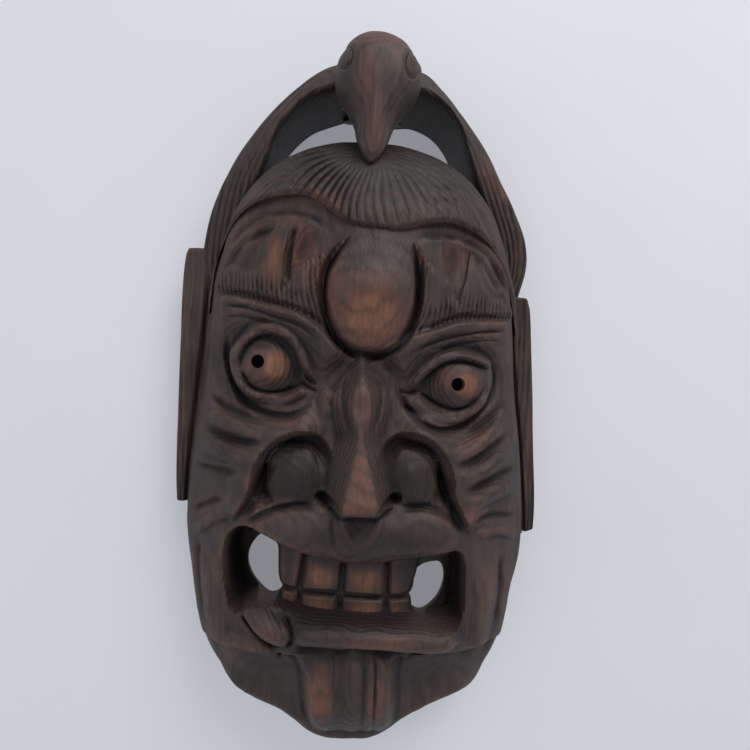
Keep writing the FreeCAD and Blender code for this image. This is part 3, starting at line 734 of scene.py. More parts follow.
def swept(name, rings):
    """A closed form through rings of points, each ring the same number of rows of x, z and rise."""
    rings = np.array(rings)
    count, around = rings.shape[:2]
    bm = bmesh.new()
    bmesh.ops.create_grid(bm, x_segments=around, y_segments=count - 1, size=1)
    grid = places_of(bm)
    column = np.rint((grid[:, 0] + 1) / 2 * around).astype(int) % around
    row = np.rint((grid[:, 1] + 1) / 2 * (count - 1)).astype(int)
    at = rings[row, column]
    set_places(bm, in_frame(at[:, 0], at[:, 1], at[:, 2]))
    bmesh.ops.remove_doubles(bm, verts=bm.verts, dist=MERGE_GAP)
    bmesh.ops.holes_fill(bm, edges=[e for e in bm.edges if e.is_boundary])
    return finish_mesh(name, bm)


# Nearer the wall than this, in mm, the wood is sawn rather than carved.
SAWN_RISE = 3
# How far each round of smoothing moves a point towards its neighbours.
CALMING = 0.6
# Hands only rub the wood that stands further out than this.
RUBBED_RISE = 30


def mark_wood(piece, rubs_and_shade, rounds=16, painted_side_shade=0.0):
    """Stores where the wood is raised or creased, where the stain is rubbed through, and where it is
    made darker by thicker stain and painted shade. More rounds find broader ridges. Painted side shade
    darkens the faces that turn away from the front."""
    mesh = piece.data
    count = len(mesh.vertices)
    here = np.empty(count * 3, np.float32)
    mesh.vertices.foreach_get("co", here)
    here = here.reshape(-1, 3).astype(float) / MM
    ends = np.empty(len(mesh.edges) * 2, np.int32)
    mesh.edges.foreach_get("vertices", ends)
    a, b = ends[::2], ends[1::2]
    degree = np.maximum(np.bincount(a, minlength=count) + np.bincount(b, minlength=count), 1)
    normals = np.empty(count * 3, np.float32)
    mesh.vertices.foreach_get("normal", normals)
    normals = normals.reshape(-1, 3)
    calm = here.copy()
    for _ in range(rounds):
        for k in range(3):
            total = np.bincount(a, calm[b, k], count) + np.bincount(b, calm[a, k], count)
            calm[:, k] = (1 - CALMING) * calm[:, k] + CALMING * total / degree
    carved = here[:, 1] < -SAWN_RISE
    raised = np.clip(((here - calm) * normals).sum(1), -3, 3) * carved
    x, z = here[:, 0], here[:, 2] - EYE_LINE
    rubbed, stained = np.zeros(count), np.zeros(count)
    for rub_x, rub_z, wide, tall, lean, strength in rubs_and_shade:
        u, v = oval(x, z, rub_x, rub_z, wide, tall, lean)
        patch = strength * np.clip(1.25 - u * u - v * v, 0, 1)
        rubbed, stained = np.maximum(rubbed, patch), np.minimum(stained, patch)
    # below 0 the patches give thicker stain and painted shade in hollows and under overhangs
    rubbed = (rubbed + stained) * (here[:, 1] < -RUBBED_RISE)
    # painted shade: faces that turn away from the front are darkened
    rubbed -= painted_side_shade * ease((normals[:, 1] + 0.45) / 0.3) * carved
    # gouged wood inside the hollow is stained thinly and evenly
    inner = ease((normals[:, 1] - 0.1) / 0.3) * carved
    raised, rubbed = raised * (1 - 0.8 * inner), rubbed * (1 - inner) + 0.6 * inner
    # rubbed carries wear above 0, and thicker stain with painted shade below 0
    for label, values in (("raised", raised), ("rubbed", rubbed)):
        layer = mesh.attributes.new(label, "FLOAT", "POINT")
        layer.data.foreach_set("value", values.astype(np.float32))
    return piece


# Edges that turn more than this are shaded sharp, in degrees.
SHARP_TURN = 50


def fit(piece, node, material):
    """Fixes a finished wooden piece to the mask in place of a node, and stains it."""
    piece.data.shade_smooth()
    piece.data.set_sharp_from_angle(angle=math.radians(SHARP_TURN))
    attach(piece, "mask")
    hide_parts(node)
    piece.data.materials.clear()
    piece.data.materials.append(bpy.data.materials[material])
    return piece


def box_tool(name, x_span, z_span, rise_span):
    """A plain block, for cutting."""
    bm = bmesh.new()
    bmesh.ops.create_cube(bm, size=2)
    at = places_of(bm)
    x = np.interp(at[:, 0], (-1, 1), x_span)
    z = np.interp(at[:, 2], (-1, 1), z_span)
    set_places(bm, in_frame(x, z, np.interp(at[:, 1], (-1, 1), rise_span)))
    return finish_mesh(name, bm)


def drill(name, x, z, radius, low, high):
    """A round hole's tool, straight in from the front."""
    ring = [(x + radius * math.cos(a), z + radius * math.sin(a)) for a in full_turn(12)]
    return outline_prism(name, ring, low, high, step=0.8)


def hollow_tool():
    """The hollow behind the face, gouged in strokes."""
    turn = full_turn(120)
    low, high = HOLLOW_HALF[0][0], HOLLOW_HALF[-1][0]
    levels = np.concatenate([[-240, -236, -230], np.linspace(low, high, 130), [102, 107, 110]])
    rings = []
    for z in levels:
        # the ends are rounded off
        ends = max((low - z) / 18, (z - high) / 14, 0)
        shrink = math.sqrt(1 - ends**2)
        half, deep = graph(z, HOLLOW_HALF) * shrink + 1, graph(z, HOLLOW_RISE) * shrink + 1
        strokes = 1.3 * ripple(turn * 80, z * 0.28, 12, 31)
        rise = np.where(np.sin(turn) > 0, (deep + strokes) * np.sin(turn), 4 * np.sin(turn))
        rings.append(np.column_stack([half * np.cos(turn), np.full(len(turn), z), rise]))
    return swept("hollow", rings)


# ---------------------------------------------------------------- bird, wings, ears and teeth


# A wing's section: the part of its width, from the outer edge, and the part of its height.
WING_SECTION = [
    (0.14, 0.0), (0.04, 0.35), (0.0, 0.62), (0.02, 0.78), (0.14, 0.88), (0.42, 0.95), (0.72, 1.0),
    (0.90, 0.99), (0.985, 0.90), (0.985, 0.66), (0.95, 0.36), (0.93, 0.06), (0.91, -0.02), (0.50, -0.03),
]
LEFT_WING_OUTER = [
    (-8, 231), (-31, 227), (-53, 212), (-75, 191), (-94, 167), (-107, 145), (-117, 123), (-123, 100),
    (-125, 80), (-122, 62),
]
LEFT_WING_INNER = [
    (-8, 211), (-16, 209), (-30, 204), (-46, 197), (-60, 184), (-69, 170), (-74, 156), (-80, 142),
    (-88, 128), (-96, 106), (-103, 84), (-109, 60),
]
RIGHT_WING_OUTER = [
    (8, 231), (37, 227), (53, 214), (69, 197), (87, 176), (102, 152), (117, 127), (126, 107), (128, 87),
    (122, 60),
]
RIGHT_WING_INNER = [
    (8, 206), (20, 205), (35, 206), (51, 200), (63, 188), (71, 171), (79, 149), (88, 130), (96, 110),
    (104, 88), (109, 60),
]


# Pieces let in beside another one stop this far short of the wall.
BACK_GAP = 0.5


WING_RISE = [(0, 66), (0.15, 66), (0.35, 62), (0.55, 57), (0.7, 50), (0.85, 42), (1, 34)]
FEATHER_WIDTH = 5.2


def wing_rings(outer, inner, depth, seed):
    """Sections along a wing, from inside the neck to its tip, with feather grooves along it."""
    stations = 190
    outer, inner = even_line(outer, stations), even_line(inner, stations)
    section = smooth_line(WING_SECTION, True, 0.01)
    across, high = section[:, 0], section[:, 1]
    along = np.linspace(0, 1, stations)
    height = graph(along, WING_RISE)
    on_front = ease((high - 0.76) / 0.12) * ease((0.99 - across) / 0.06)
    rings = []
    for k, t in enumerate(along):
        span = np.linalg.norm(inner[k] - outer[k])
        rise = high * height[k]
        run = across * span / FEATHER_WIDTH + 1.1 * math.sin(5 * t)
        run += 0.5 * ripple(across * 30, t * 60, 11, seed)
        cut = np.clip(1 - 2.8 * np.abs(run % 1 - 0.5), 0, 1)
        # feathers start faintly beside the neck
        front = on_front * ease((t - 0.1) / 0.14) * (0.5 + 0.5 * ease((t - 0.4) / 0.3))
        rise = rise - depth * front * cut**1.3
        rise = rise + 0.7 * front * ripple(across * 30, t * 300, 10, seed + 1)
        at = outer[k] + (inner[k] - outer[k]) * across[:, None]
        rings.append(np.column_stack([at, np.clip(rise, BACK_GAP, None)]))
    return rings


# The bird by height: its half width, the rise of its front and its back, and its middle.
BIRD_HALF = [
    (142, 1.6), (145, 4.6), (150, 7.6), (158, 11), (166, 12.8), (174, 15.5), (180, 18.6), (186, 22),
    (193, 27), (203, 30.2), (213, 29.4), (222, 24),
]
BIRD_FRONT = [
    (142, 98), (146, 101), (152, 103), (162, 103.5), (180, 104), (200, 106), (213, 105), (222, 101.5),
    (228, 97), (231, 93), (233, 86),
]
BIRD_BACK = [
    (142, 92), (150, 88), (160, 79), (170, 65), (180, 50), (188, 40), (196, 30), (203, 16), (209, 0),
    (222, 0), (228, 12), (231, 34), (233, 60),
]
BIRD_MIDDLE = [(142, -0.5), (160, 0.5), (180, 2), (205, 3.5), (222, 3), (233, 2)]
# Each eye: x, z, half width, half height and lean.
BIRD_EYES = ((-20, 212, 5.0, 9.5, 8), (25, 208, 5.0, 9.5, -8))
BIRD_TOP, BEAK_TIP = 233, 142
# The depth of the skull, and the rise above which the bird's front is finely cut.
SKULL_DEPTH = 62
FINE_CUT_RISE = 62


def bird_rings():
    """Level sections of the bird's head, its beak and the neck that runs back to the wall."""
    turn = full_turn(150)
    c, s = np.cos(turn), np.sin(turn)
    rings = []
    for t in np.linspace(0.02, 1, 150):
        z = BIRD_TOP - (BIRD_TOP - BEAK_TIP) * (1 - math.cos(t * math.pi / 2)) ** 0.9
        # the crown of the head is round, up from 222
        crown = 24 * math.sqrt(max(0, 1 - ((z - 222) / 11.2) ** 2)) if z > 222 else 0
        half = crown or float(graph(z, BIRD_HALF))
        front, back = float(graph(z, BIRD_FRONT)), max(0, float(graph(z, BIRD_BACK)))
        beak = float(ease((188 - z) / 22))
        x = half * np.sign(c) * np.abs(c) ** (0.74 + 0.3 * beak)
        deep = min(front - back, SKULL_DEPTH)
        middle = front - deep / 2
        rise = middle + deep / 2 * np.sign(s) * np.abs(s) ** (0.78 + 0.45 * beak)
        # the neck behind the skull narrows
        behind = np.clip((middle - rise) / (deep / 2), 0, 1)
        rise = np.where(s < 0, rise - (middle - deep / 2 - back) * behind, rise)
        x = x * np.where(s < 0, 1 - 0.32 * (1 - beak) * ease(behind * 3), 1)
        # and spreads again where it meets the wall
        foot = 0.55 * (1 - beak) * half * float(ease((14 - back) / 12))
        x = x + np.where(s < 0, foot * np.sign(c) * ease((behind - 0.75) * 4), 0)
        x = x + float(graph(z, BIRD_MIDDLE))
        rings.append(np.column_stack([x, np.full(len(x), z), np.clip(rise, 2 * BACK_GAP, None)]))
    rings = np.array(rings)
    head = Relief(*(rings[..., k].flatten() for k in range(3)))
    for eye in BIRD_EYES:
        out = np.hypot(*oval(head.x, head.z, *eye))
        head.rise -= 2.4 * np.clip(1 - np.abs(out - 1) / 0.30, 0, 1) + 1.0 * (out < 1) * (1 - out**2)
    head.stroke([(1, 206), (0.8, 180), (0.2, 160), (-0.4, 144)], 3.6, 1.4, 0.5)
    head.stroke([(-9, 188), (-8, 172), (-7, 158), (-5, 148)], 2.2, -1.1, 0.2)
    head.stroke([(12, 188), (9.5, 172), (8, 158), (5, 148)], 2.2, -1.1, 0.2)
    head.rise += 0.3 * ripple(head.x, head.z * 0.5, 5, 41)
    finely_cut = head.rise.reshape(rings.shape[:2])
    rings[..., 2] = np.where(rings[..., 2] > FINE_CUT_RISE, finely_cut, rings[..., 2])
    return rings


# An ear's section: the part of its width, from the outer edge, and the part of its height.
EAR_SECTION = [
    (0, 0), (0, 0.88), (0.015, 0.95), (0.06, 1.0), (0.34, 0.98), (0.52, 0.95), (0.58, 0.84),
    (0.64, 0.93), (0.70, 1.03), (0.86, 1.04), (0.97, 0.95), (1, 0.7), (1, 0),
]


EAR_HEIGHT = 35
# How far the ear's raised strip wanders across it, from top to bottom.
STRIP_WANDER = [(0, 0.06), (0.3, 0.0), (0.6, -0.10), (1, -0.22)]


def ear_rings(outer, inner, tops, bottoms, seed):
    """Sections down an ear board. Outer and inner give x by height, tops and bottoms z by x."""
    profile = np.array(EAR_SECTION)
    # points spaced evenly round a section of about 24 by 34 mm
    walked = np.r_[0, np.cumsum(np.hypot(np.diff(profile[:, 0]) * 24, np.diff(profile[:, 1]) * 34))]
    at = np.linspace(0, walked[-1], 110)
    across, up = np.interp(at, walked, profile[:, 0]), np.interp(at, walked, profile[:, 1])
    side = 1 if outer[0][1] > 0 else -1
    levels = np.concatenate([[0, 0, 0.006], np.linspace(0.012, 0.988, 150), [0.994, 1, 1]])
    # the two end sections are drawn in, which rounds the ends over
    insets = {0: 1.6, 1: 0.5, len(levels) - 2: 0.5, len(levels) - 1: 1.6}
    rings = []
    for row, part in enumerate(levels):
        inset = insets.get(row, 0)
        guess = tops[0][1] + (bottoms[0][1] - tops[0][1]) * part
        x_out, x_in = float(graph(guess, outer)), float(graph(guess, inner))
        x_out, x_in = x_out - side * inset, x_in + side * inset
        strip = float(graph(part, STRIP_WANDER))
        x = x_out + (x_in - x_out) * (across + strip * np.sin(np.clip(across, 0, 1) * math.pi))
        gouged = 0.55 * ripple(x, guess * 0.05, 1.6, seed) + 0.8 * ripple(x, guess * 0.12, 5, seed + 1)
        rise = up * (EAR_HEIGHT - inset) + np.where(up > 0.6, gouged, 0)
        # the outer edge is gouged too
        edge_cuts = 0.7 * ripple(rise, guess * 0.08, 4, seed + 2) - 0.6
        x = x + side * np.where((up > 0.05) & (across < 0.03), edge_cuts, 0)
        z = graph(x, tops) + (graph(x, bottoms) - graph(x, tops)) * part
        rings.append(np.column_stack([x, z, np.clip(rise, 2 * BACK_GAP, None)]))
    return rings


# Each row of teeth: its outline, the cuts that part it, and its rise by x.
UPPER_OUTLINE = [
    (-57, -104), (-55, -122), (-54, -140), (-50, -146), (-36, -147.5), (-20, -147), (6, -149),
    (26, -150), (35, -149), (39, -142), (43, -128), (46, -112), (10, -106), (-30, -104),
]
UPPER_GAPS = [
    [(-34, -108), (-37, -130), (-41, -160)],
    [(-8, -110), (-10, -135), (-11, -160)],
    [(20, -110), (20, -135), (20, -160)],
]
UPPER_FRONT = [(-60, 80), (-46, 85), (-24, 91), (6, 93), (30, 89), (48, 83)]
LOWER_OUTLINE = [
    (-52, -150), (-45, -148.5), (-30, -149), (-10, -149.5), (10, -150.5), (28, -151.5), (37, -152),
    (39, -160), (44, -176), (10, -184), (-30, -178), (-52, -166),
]
LOWER_GAPS = [
    [(-38, -140), (-40, -160), (-42, -175)],
    [(-11, -140), (-12, -160), (-12, -178)],
    [(20, -140), (20, -160), (21, -180)],
]
LOWER_FRONT = [(-60, 77), (-46, 82), (-24, 89), (6, 91), (30, 87), (48, 81)]


def teeth_rise(x, z, outline, gaps, front):
    """The fronts of a row of block teeth, parted by slanting cuts."""
    row = Relief(x, z, graph(x, front))
    edge = inside(x, z, smooth_line(outline, True))
    row.rise -= 5 * (1 - ease((edge + 0.4) / 4)) ** 2
    for gap_line in gaps:
        at, gap, _, _ = closest(x, z, smooth_line(gap_line), 5.5)
        row.rise[at] -= 4.5 * (1 - ease((gap - 0.4) / 4.4)) ** 2 + 7 * (gap < 0.9)
    return row.rise + 0.4 * ripple(x, z * 0.6, 6, 51)


# ---------------------------------------------------------------- finishes


class WoodFinish(bpy.types.PropertyGroup):
    """Colours of the stained wood."""

    stain: FloatVectorProperty(
        name="Stain", description="The dark stain over most of the carving", subtype="COLOR",
        default=(0.030, 0.0205, 0.0168), min=0, max=1,
    )
    worn_stain: FloatVectorProperty(
        name="Worn stain", description="The stain where the wood is smooth and lighter", subtype="COLOR",
        default=(0.064, 0.0465, 0.0395), min=0, max=1,
    )
    rubbed_wood: FloatVectorProperty(
        name="Rubbed wood", description="Red wood where the stain is rubbed through", subtype="COLOR",
        default=(0.170, 0.066, 0.039), min=0, max=1,
    )
    bare_wood: FloatVectorProperty(
        name="Bare wood", description="Orange wood where the stain is worn right off", subtype="COLOR",
        default=(0.245, 0.118, 0.070), min=0, max=1,
    )
    # also the colour of the painted shade in cuts and hollows and on sides turned from the front
    crease: FloatVectorProperty(
        name="Creases", description="Stain that has gathered in the cuts", subtype="COLOR",
        default=(0.009, 0.0062, 0.0055), min=0, max=1,
    )


class CarvingSizes(bpy.types.PropertyGroup):
    """Sizes of the carving's fine work."""

    face_grid: FloatProperty(
        name="Face grid", description="Spacing of the face's surface points, in mm",
        default=1.15, min=0.8, max=4,
    )
    fine_grid: FloatProperty(
        name="Fine grid", description="Spacing of the brows' surface points, in mm",
        default=0.6, min=0.4, max=3,
    )
    hair_grid: FloatProperty(
        name="Hair grid", description="Spacing of the hair's surface points, in mm",
        default=0.68, min=0.5, max=4,
    )
    brow_spacing: FloatProperty(
        name="Brow hatching", description="Distance between the brows' cuts, in mm",
        default=3.3, min=1.5, max=6,
    )
    brow_depth: FloatProperty(
        name="Brow cut depth", description="Depth of the cuts, in mm",
        default=1.9, min=0, max=4,
    )
    strand_depth: FloatProperty(
        name="Strand depth", description="Depth of the cuts between strands of hair, in mm",
        default=2.2, min=0, max=5,
    )
    feather_depth: FloatProperty(
        name="Feather depth", description="Depth of the cuts along the wings, in mm",
        default=1.6, min=0, max=5,
    )
    pupil_radius: FloatProperty(
        name="Pupil radius", description="Radius of the holes drilled in the eyes, in mm",
        default=4.6, min=2, max=8,
    )
    pupil_depth: FloatProperty(
        name="Pupil depth", description="Depth of the holes drilled in the eyes, in mm",
        default=16, min=4, max=25,
    )


class StageSettings(bpy.types.PropertyGroup):
    """The camera, lights and backdrop."""

    lens: FloatProperty(
        name="Lens", description="Focal length",
        default=27, min=10, max=200, subtype="DISTANCE_CAMERA",
    )
    sky: FloatVectorProperty(
        name="Sky", description="Colour of the soft light all round", subtype="COLOR",
        default=(0.88, 0.92, 1.0), min=0, max=1,
    )
    sky_strength: FloatProperty(
        name="Sky strength", description="Strength of the soft light",
        default=0.50, min=0,
    )
    key_power: FloatProperty(
        name="Key power", description="Power of the large soft lamp",
        default=15, min=0, unit="POWER",
    )
    glow: FloatProperty(
        name="Glow", description="Light that comes through the backdrop",
        default=0.28, min=0,
    )
    backdrop: FloatVectorProperty(
        name="Backdrop", description="Colour of the wall and floor", subtype="COLOR",
        default=(0.50, 0.50, 0.52), min=0, max=1,
    )


class Wiring:
    """Adds and links the nodes of one tree."""

    def __init__(self, tree):
        self.tree = tree

    def add(self, kind, *inputs, **settings):
        """A node. Inputs are in socket order: a socket to link, a value to set, or None."""
        node = self.tree.nodes.new(kind)
        for key, value in settings.items():
            setattr(node, key, value)
        for socket, given in zip(node.inputs, inputs):
            self.give(socket, given)
        return node

    def give(self, socket, given):
        """Links a socket to another, or sets its value."""
        if isinstance(given, bpy.types.NodeSocket):
            self.tree.links.new(given, socket)
        elif given is not None:
            socket.default_value = given

    def maths(self, operation, *inputs, clamp=False):
        """The result of a sum on numbers."""
        return self.add("ShaderNodeMath", *inputs, operation=operation, use_clamp=clamp).outputs[0]

    def vector(self, operation, *inputs):
        """The node of a sum on vectors."""
        return self.add("ShaderNodeVectorMath", *inputs, operation=operation)

    def span(self, value, low, high, to_low=0.0, to_high=1.0):
        """A value spread from one range to another, and held within it."""
        return self.add("ShaderNodeMapRange", value, low, high, to_low, to_high).outputs[0]

    def mix(self, amount, one, other):
        """One colour changed into another by an amount."""
        node = self.add("ShaderNodeMix", data_type="RGBA")
        # the sockets of a colour mix: factor, A and B, and its result
        for place, given in ((0, amount), (6, one), (7, other)):
            self.give(node.inputs[place], given)
        return node.outputs[2]

    def noise(self, place, scale, detail=2, rough=0.5):
        """Cloudy noise, from 0 to 1."""
        node = self.add("ShaderNodeTexNoise", place)
        for name, value in (("Scale", scale), ("Detail", detail), ("Roughness", rough)):
            node.inputs[name].default_value = value
        return node.outputs["Fac"]


def new_material(name):
    """An empty node material and its wiring."""
    material = bpy.data.materials.new(name)
    material.use_nodes = True
    material.node_tree.nodes.clear()
    return material, Wiring(material.node_tree)


def grain_group():
    """Wood figure: upright fibres, growth rings that follow the cut surface, and clouds."""
    group = bpy.data.node_groups.new("carved_grain", "ShaderNodeTree")
    spacing = group.interface.new_socket("Ring Spacing", in_out="INPUT", socket_type="NodeSocketFloat")
    spacing.default_value = 0.0034
    for name in ("Fibre", "Rings", "Cloud", "Height"):
        group.interface.new_socket(name, in_out="OUTPUT", socket_type="NodeSocketFloat")
    w = Wiring(group)
    given = w.add("NodeGroupInput")
    place = w.add("ShaderNodeTexCoord").outputs["Object"]
    stretched = w.vector("MULTIPLY", place, (1, 1, 0.045)).outputs[0]
    fibre = w.noise(stretched, 430, 3, 0.62)
    coarse = w.noise(stretched, 170)
    cloud = w.noise(place, 19, 3, 0.55)
    # rings round a pith behind the wall, swayed so that they wander
    sway = w.noise(w.vector("MULTIPLY", place, (1, 1, 0.35)).outputs[0], 22)
    from_pith = w.vector("ADD", place, (-0.012, -0.055, 0.0)).outputs[0]
    from_pith = w.vector("MULTIPLY", from_pith, (1, 1, 0.05)).outputs[0]
    radius = w.maths("ADD", w.vector("LENGTH", from_pith).outputs["Value"], w.maths("MULTIPLY", sway, 0.022))
    turn = w.maths("MULTIPLY", w.maths("DIVIDE", radius, given.outputs["Ring Spacing"]), math.tau)
    rings = w.maths("POWER", w.span(w.maths("SINE", turn), -1, 1), 2.2)
    height = w.maths("ADD", w.maths("MULTIPLY", fibre, 0.55), w.maths("MULTIPLY", rings, 0.22))
    height = w.maths("ADD", height, w.maths("MULTIPLY", coarse, 0.35))
    out = w.add("NodeGroupOutput")
    for name, value in (("Fibre", fibre), ("Rings", rings), ("Cloud", cloud), ("Height", height)):
        w.give(out.inputs[name], value)
    return group


def wood_material(name, colours, redness, grey, grain):
    """Stained wood: dark in the cuts with stain and painted shade, grey on open surfaces, red where it is
    rubbed.
    """
    material, w = new_material(name)
    figure = w.add("ShaderNodeGroup", node_tree=grain)
    raised = w.add("ShaderNodeAttribute", attribute_name="raised").outputs["Fac"]
    # rubbed: wear above 0; thicker stain and painted shade below 0
    rubbed = w.add("ShaderNodeAttribute", attribute_name="rubbed").outputs["Fac"]
    fibre, rings, cloud = (figure.outputs[k] for k in ("Fibre", "Rings", "Cloud"))
    # cuts and hollows, where gathered stain and painted shade darken the wood
    in_cut = w.span(raised, -0.12, -1.0)
    on_edge = w.span(raised, 0.12, 0.8)
    patchy = w.span(cloud, 0.38, 0.62)
    streaky = w.span(fibre, 0.35, 0.68)
    # stain
    open_wood = w.maths("ADD", w.maths("MULTIPLY", streaky, 0.65), w.maths("MULTIPLY", patchy, grey))
    colour = w.mix(w.maths("MINIMUM", open_wood, 1.0), (*colours.stain, 1), (*colours.worn_stain, 1))
    # rubbed through
    worn = w.maths("MULTIPLY", on_edge, w.maths("MULTIPLY", patchy, redness))
    spotty = w.maths("ADD", w.maths("MULTIPLY", cloud, 1.1), w.maths("MULTIPLY", fibre, 0.35))
    patch = w.maths("MULTIPLY", rubbed, spotty)
    red = w.maths("MAXIMUM", worn, patch)
    red = w.maths("MULTIPLY", red, w.maths("SUBTRACT", 1.0, w.maths("MULTIPLY", in_cut, 0.9)))
    red = w.maths("MULTIPLY", red, w.span(streaky, 0, 1, 0.62, 1.0), clamp=True)
    colour = w.mix(red, colour, (*colours.rubbed_wood, 1))
    bare = w.maths("MULTIPLY", w.span(rubbed, 1.0, 1.7), w.span(streaky, 0, 1, 0.35, 1.0))
    colour = w.mix(bare, colour, (*colours.bare_wood, 1))
    # growth rings hold the stain; the patches below 0 and the cuts darken with thicker stain and painted
    # shade
    dark_rings, cut_stain_and_shade = w.maths("MULTIPLY", rings, 0.30), w.maths("MULTIPLY", in_cut, 0.85)
    for held in (dark_rings, w.span(rubbed, 0, -1, 0, 0.8), cut_stain_and_shade):
        colour = w.mix(held, colour, (*colours.crease, 1))
    rough = w.maths("ADD", w.span(fibre, 0.3, 0.7, 0.46, 0.62), w.maths("MULTIPLY", in_cut, 0.25))
    bump = w.add("ShaderNodeBump")
    bump.inputs["Strength"].default_value = 0.7
    bump.inputs["Distance"].default_value = 0.0011
    w.give(bump.inputs["Height"], figure.outputs["Height"])
    surface = w.add("ShaderNodeBsdfPrincipled")
    surface.inputs["Specular IOR Level"].default_value = 0.34
    w.give(surface.inputs["Base Color"], colour)
    w.give(surface.inputs["Roughness"], rough)
    w.give(surface.inputs["Normal"], bump.outputs["Normal"])
    w.add("ShaderNodeOutputMaterial", surface.outputs[0])
    return material


def dowel_material(grain):
    """Pale turned dowel, end grain and all."""
    material, w = new_material("dowel_wood")
    figure = w.add("ShaderNodeGroup", 0.0016, node_tree=grain)
    colour = w.mix(figure.outputs["Fibre"], (0.30, 0.17, 0.085, 1), (0.47, 0.30, 0.165, 1))
    colour = w.mix(w.maths("MULTIPLY", figure.outputs["Rings"], 0.4), colour, (0.22, 0.115, 0.055, 1))
    surface = w.add("ShaderNodeBsdfPrincipled")
    w.give(surface.inputs["Base Color"], colour)
    w.give(surface.inputs["Roughness"], w.span(figure.outputs["Fibre"], 0.3, 0.7, 0.5, 0.7))
    w.add("ShaderNodeOutputMaterial", surface.outputs[0])
    return material


def steel_material():
    """Zinc-plated steel, dulled and faintly mottled."""
    material, w = new_material("plated_steel")
    mottle = w.noise(w.add("ShaderNodeTexCoord").outputs["Object"], 420, 3, 0.6)
    surface = w.add("ShaderNodeBsdfPrincipled")
    surface.inputs["Metallic"].default_value = 1
    w.give(surface.inputs["Base Color"], w.mix(mottle, (0.42, 0.42, 0.40, 1), (0.62, 0.61, 0.57, 1)))
    w.give(surface.inputs["Roughness"], w.span(mottle, 0.3, 0.7, 0.28, 0.46))
    w.add("ShaderNodeOutputMaterial", surface.outputs[0])
    return material


# Light that leaves the mask and meets the wall this near, in metres, goes on to the sky behind it.
HUNG_REACH = 0.12


def one_sided_material(colour, glow):
    """A pale wall that is seen only from the front, and that lets the light behind it reach
    whatever hangs on it."""
    material, w = new_material("pale_backdrop")
    path = w.add("ShaderNodeLightPath").outputs
    unlooked_at = w.maths("SUBTRACT", 1.0, path["Is Camera Ray"])
    hung_on_it = w.maths("MULTIPLY", unlooked_at, w.maths("LESS_THAN", path["Ray Length"], HUNG_REACH))
    unseen = w.maths("MAXIMUM", w.add("ShaderNodeNewGeometry").outputs["Backfacing"], hung_on_it)
    cloudy = w.noise(w.add("ShaderNodeTexCoord").outputs["Object"], 5)
    shade = w.mix(w.span(cloudy, 0.3, 0.7), (*(0.96 * c for c in colour), 1), (*colour, 1))
    pale = w.add("ShaderNodeBsdfPrincipled")
    w.give(pale.inputs["Base Color"], shade)
    pale.inputs["Roughness"].default_value = 0.9
    pale.inputs["Emission Color"].default_value = (0.80, 0.82, 0.90, 1)
    pale.inputs["Emission Strength"].default_value = glow
    dimmed = w.mix(hung_on_it, (1, 1, 1, 1), (0.75, 0.75, 0.75, 1))
    clear = w.add("ShaderNodeBsdfTransparent", dimmed)
    both = w.add("ShaderNodeMixShader", unseen, pale.outputs[0], clear.outputs[0])
    w.add("ShaderNodeOutputMaterial", both.outputs[0])
    return material


# ---------------------------------------------------------------- the steps


class MASK_OT_finishes(bpy.types.Operator):
    """Mix the wood, dowel and steel finishes"""

    bl_idname = "mask.finishes"
    bl_label = "Mix Finishes"

    def execute(self, context):
        colours = context.scene.mask_finish
        grain = grain_group()
        for name, redness, grey in (("face", 0.32, 0.5), ("hair", 0.3, 0.12), ("teeth", 0.4, 0.3)):
            wood_material("stained_" + name, colours, redness, grey, grain)
        dowel_material(grain)
        steel_material()
        return {"FINISHED"}


# Each patch of wear or painted shade: x, z, half width, half height, lean in degrees and strength. Red wood
# shows where it is above 0; below 0 the wood is darker, with thicker stain and painted shade in the hollows
# and under overhangs.
FACE_RUBS_AND_SHADE = (
    (3, 38, 24, 22, 0, 1.3), (3, 58, 20, 14, 0, 0.5), (4, 84, 28, 14, 0, -0.25), (-60, 4, 9, 11, 0, 1.6),
    (-72, 0, 11, 12, 0, 0.45), (-66, 20, 20, 6, 0, -0.6), (71, -3, 10, 11, 0, 1.25),
    (58, 0, 8, 9, 0, 0.7), (-1, -79, 12, 8, 0, 0.9), (-1, -68, 8.5, 10, 0, 0.9),
    (-1.5, -57, 5, 10, 0, 0.8), (-2, -18, 8, 18, 0, 0.55), (-22, -17, 7, 6, 0, 0.5),
    (-46, 84, 11, 18, -20, 0.9), (-63, 74, 7, 24, 0, 1.1), (-36, 70, 10, 16, 0, 0.7),
    (-22, 52, 7, 26, 0, 0.8), (-86, 97, 20, 12, 35, 0.65), (-58, 105, 20, 8, 0, 0.5),
    (60, 82, 12, 20, 10, 0.45), (34, 80, 8, 16, 0, 0.4), (-24, -214, 10, 24, 0, 1.1),
    (15, -218, 7, 20, 0, 0.9), (16, -173, 26, 7, 0, 0.9), (-43, -68, 21, 24, 0, -1.0),
    (34, -67, 20, 24, 0, -0.7), (-14, -30, 8, 14, 0, -0.4), (-78, -140, 16, 36, 0, -0.8),
    (70, -146, 10, 34, 0, -0.7), (-6, -157, 80, 11, 0, -1.1), (-2, -186, 66, 5, 0, -0.6),
    (-60, -200, 26, 15, 0, -0.7), (50, -208, 24, 14, 0, -0.4), (-4, -240, 14, 14, 0, -0.4),
    (0, -108, 50, 9, 0, -0.5), (0, -124, 46, 10, 0, -0.4), (-64, -168, 20, 11, -30, 0.55),
    (40, -186, 30, 8, 0, 0.35), (-86, -118, 8, 14, 20, 0.45), (82, -44, 22, 8, 20, 0.6),
    (80, -92, 13, 8, 0, 0.7), (88, -68, 20, 6, 15, 0.45), (-104, -92, 16, 7, 20, 0.35),
    (-96, -24, 16, 10, 0, 0.35), (-84, -200, 14, 14, 0, 0.3), (78, 30, 24, 6, 0, 0.4),
    (-30, -30, 12, 9, 0, 0.3), (90, -150, 10, 30, 0, 0.3),
)


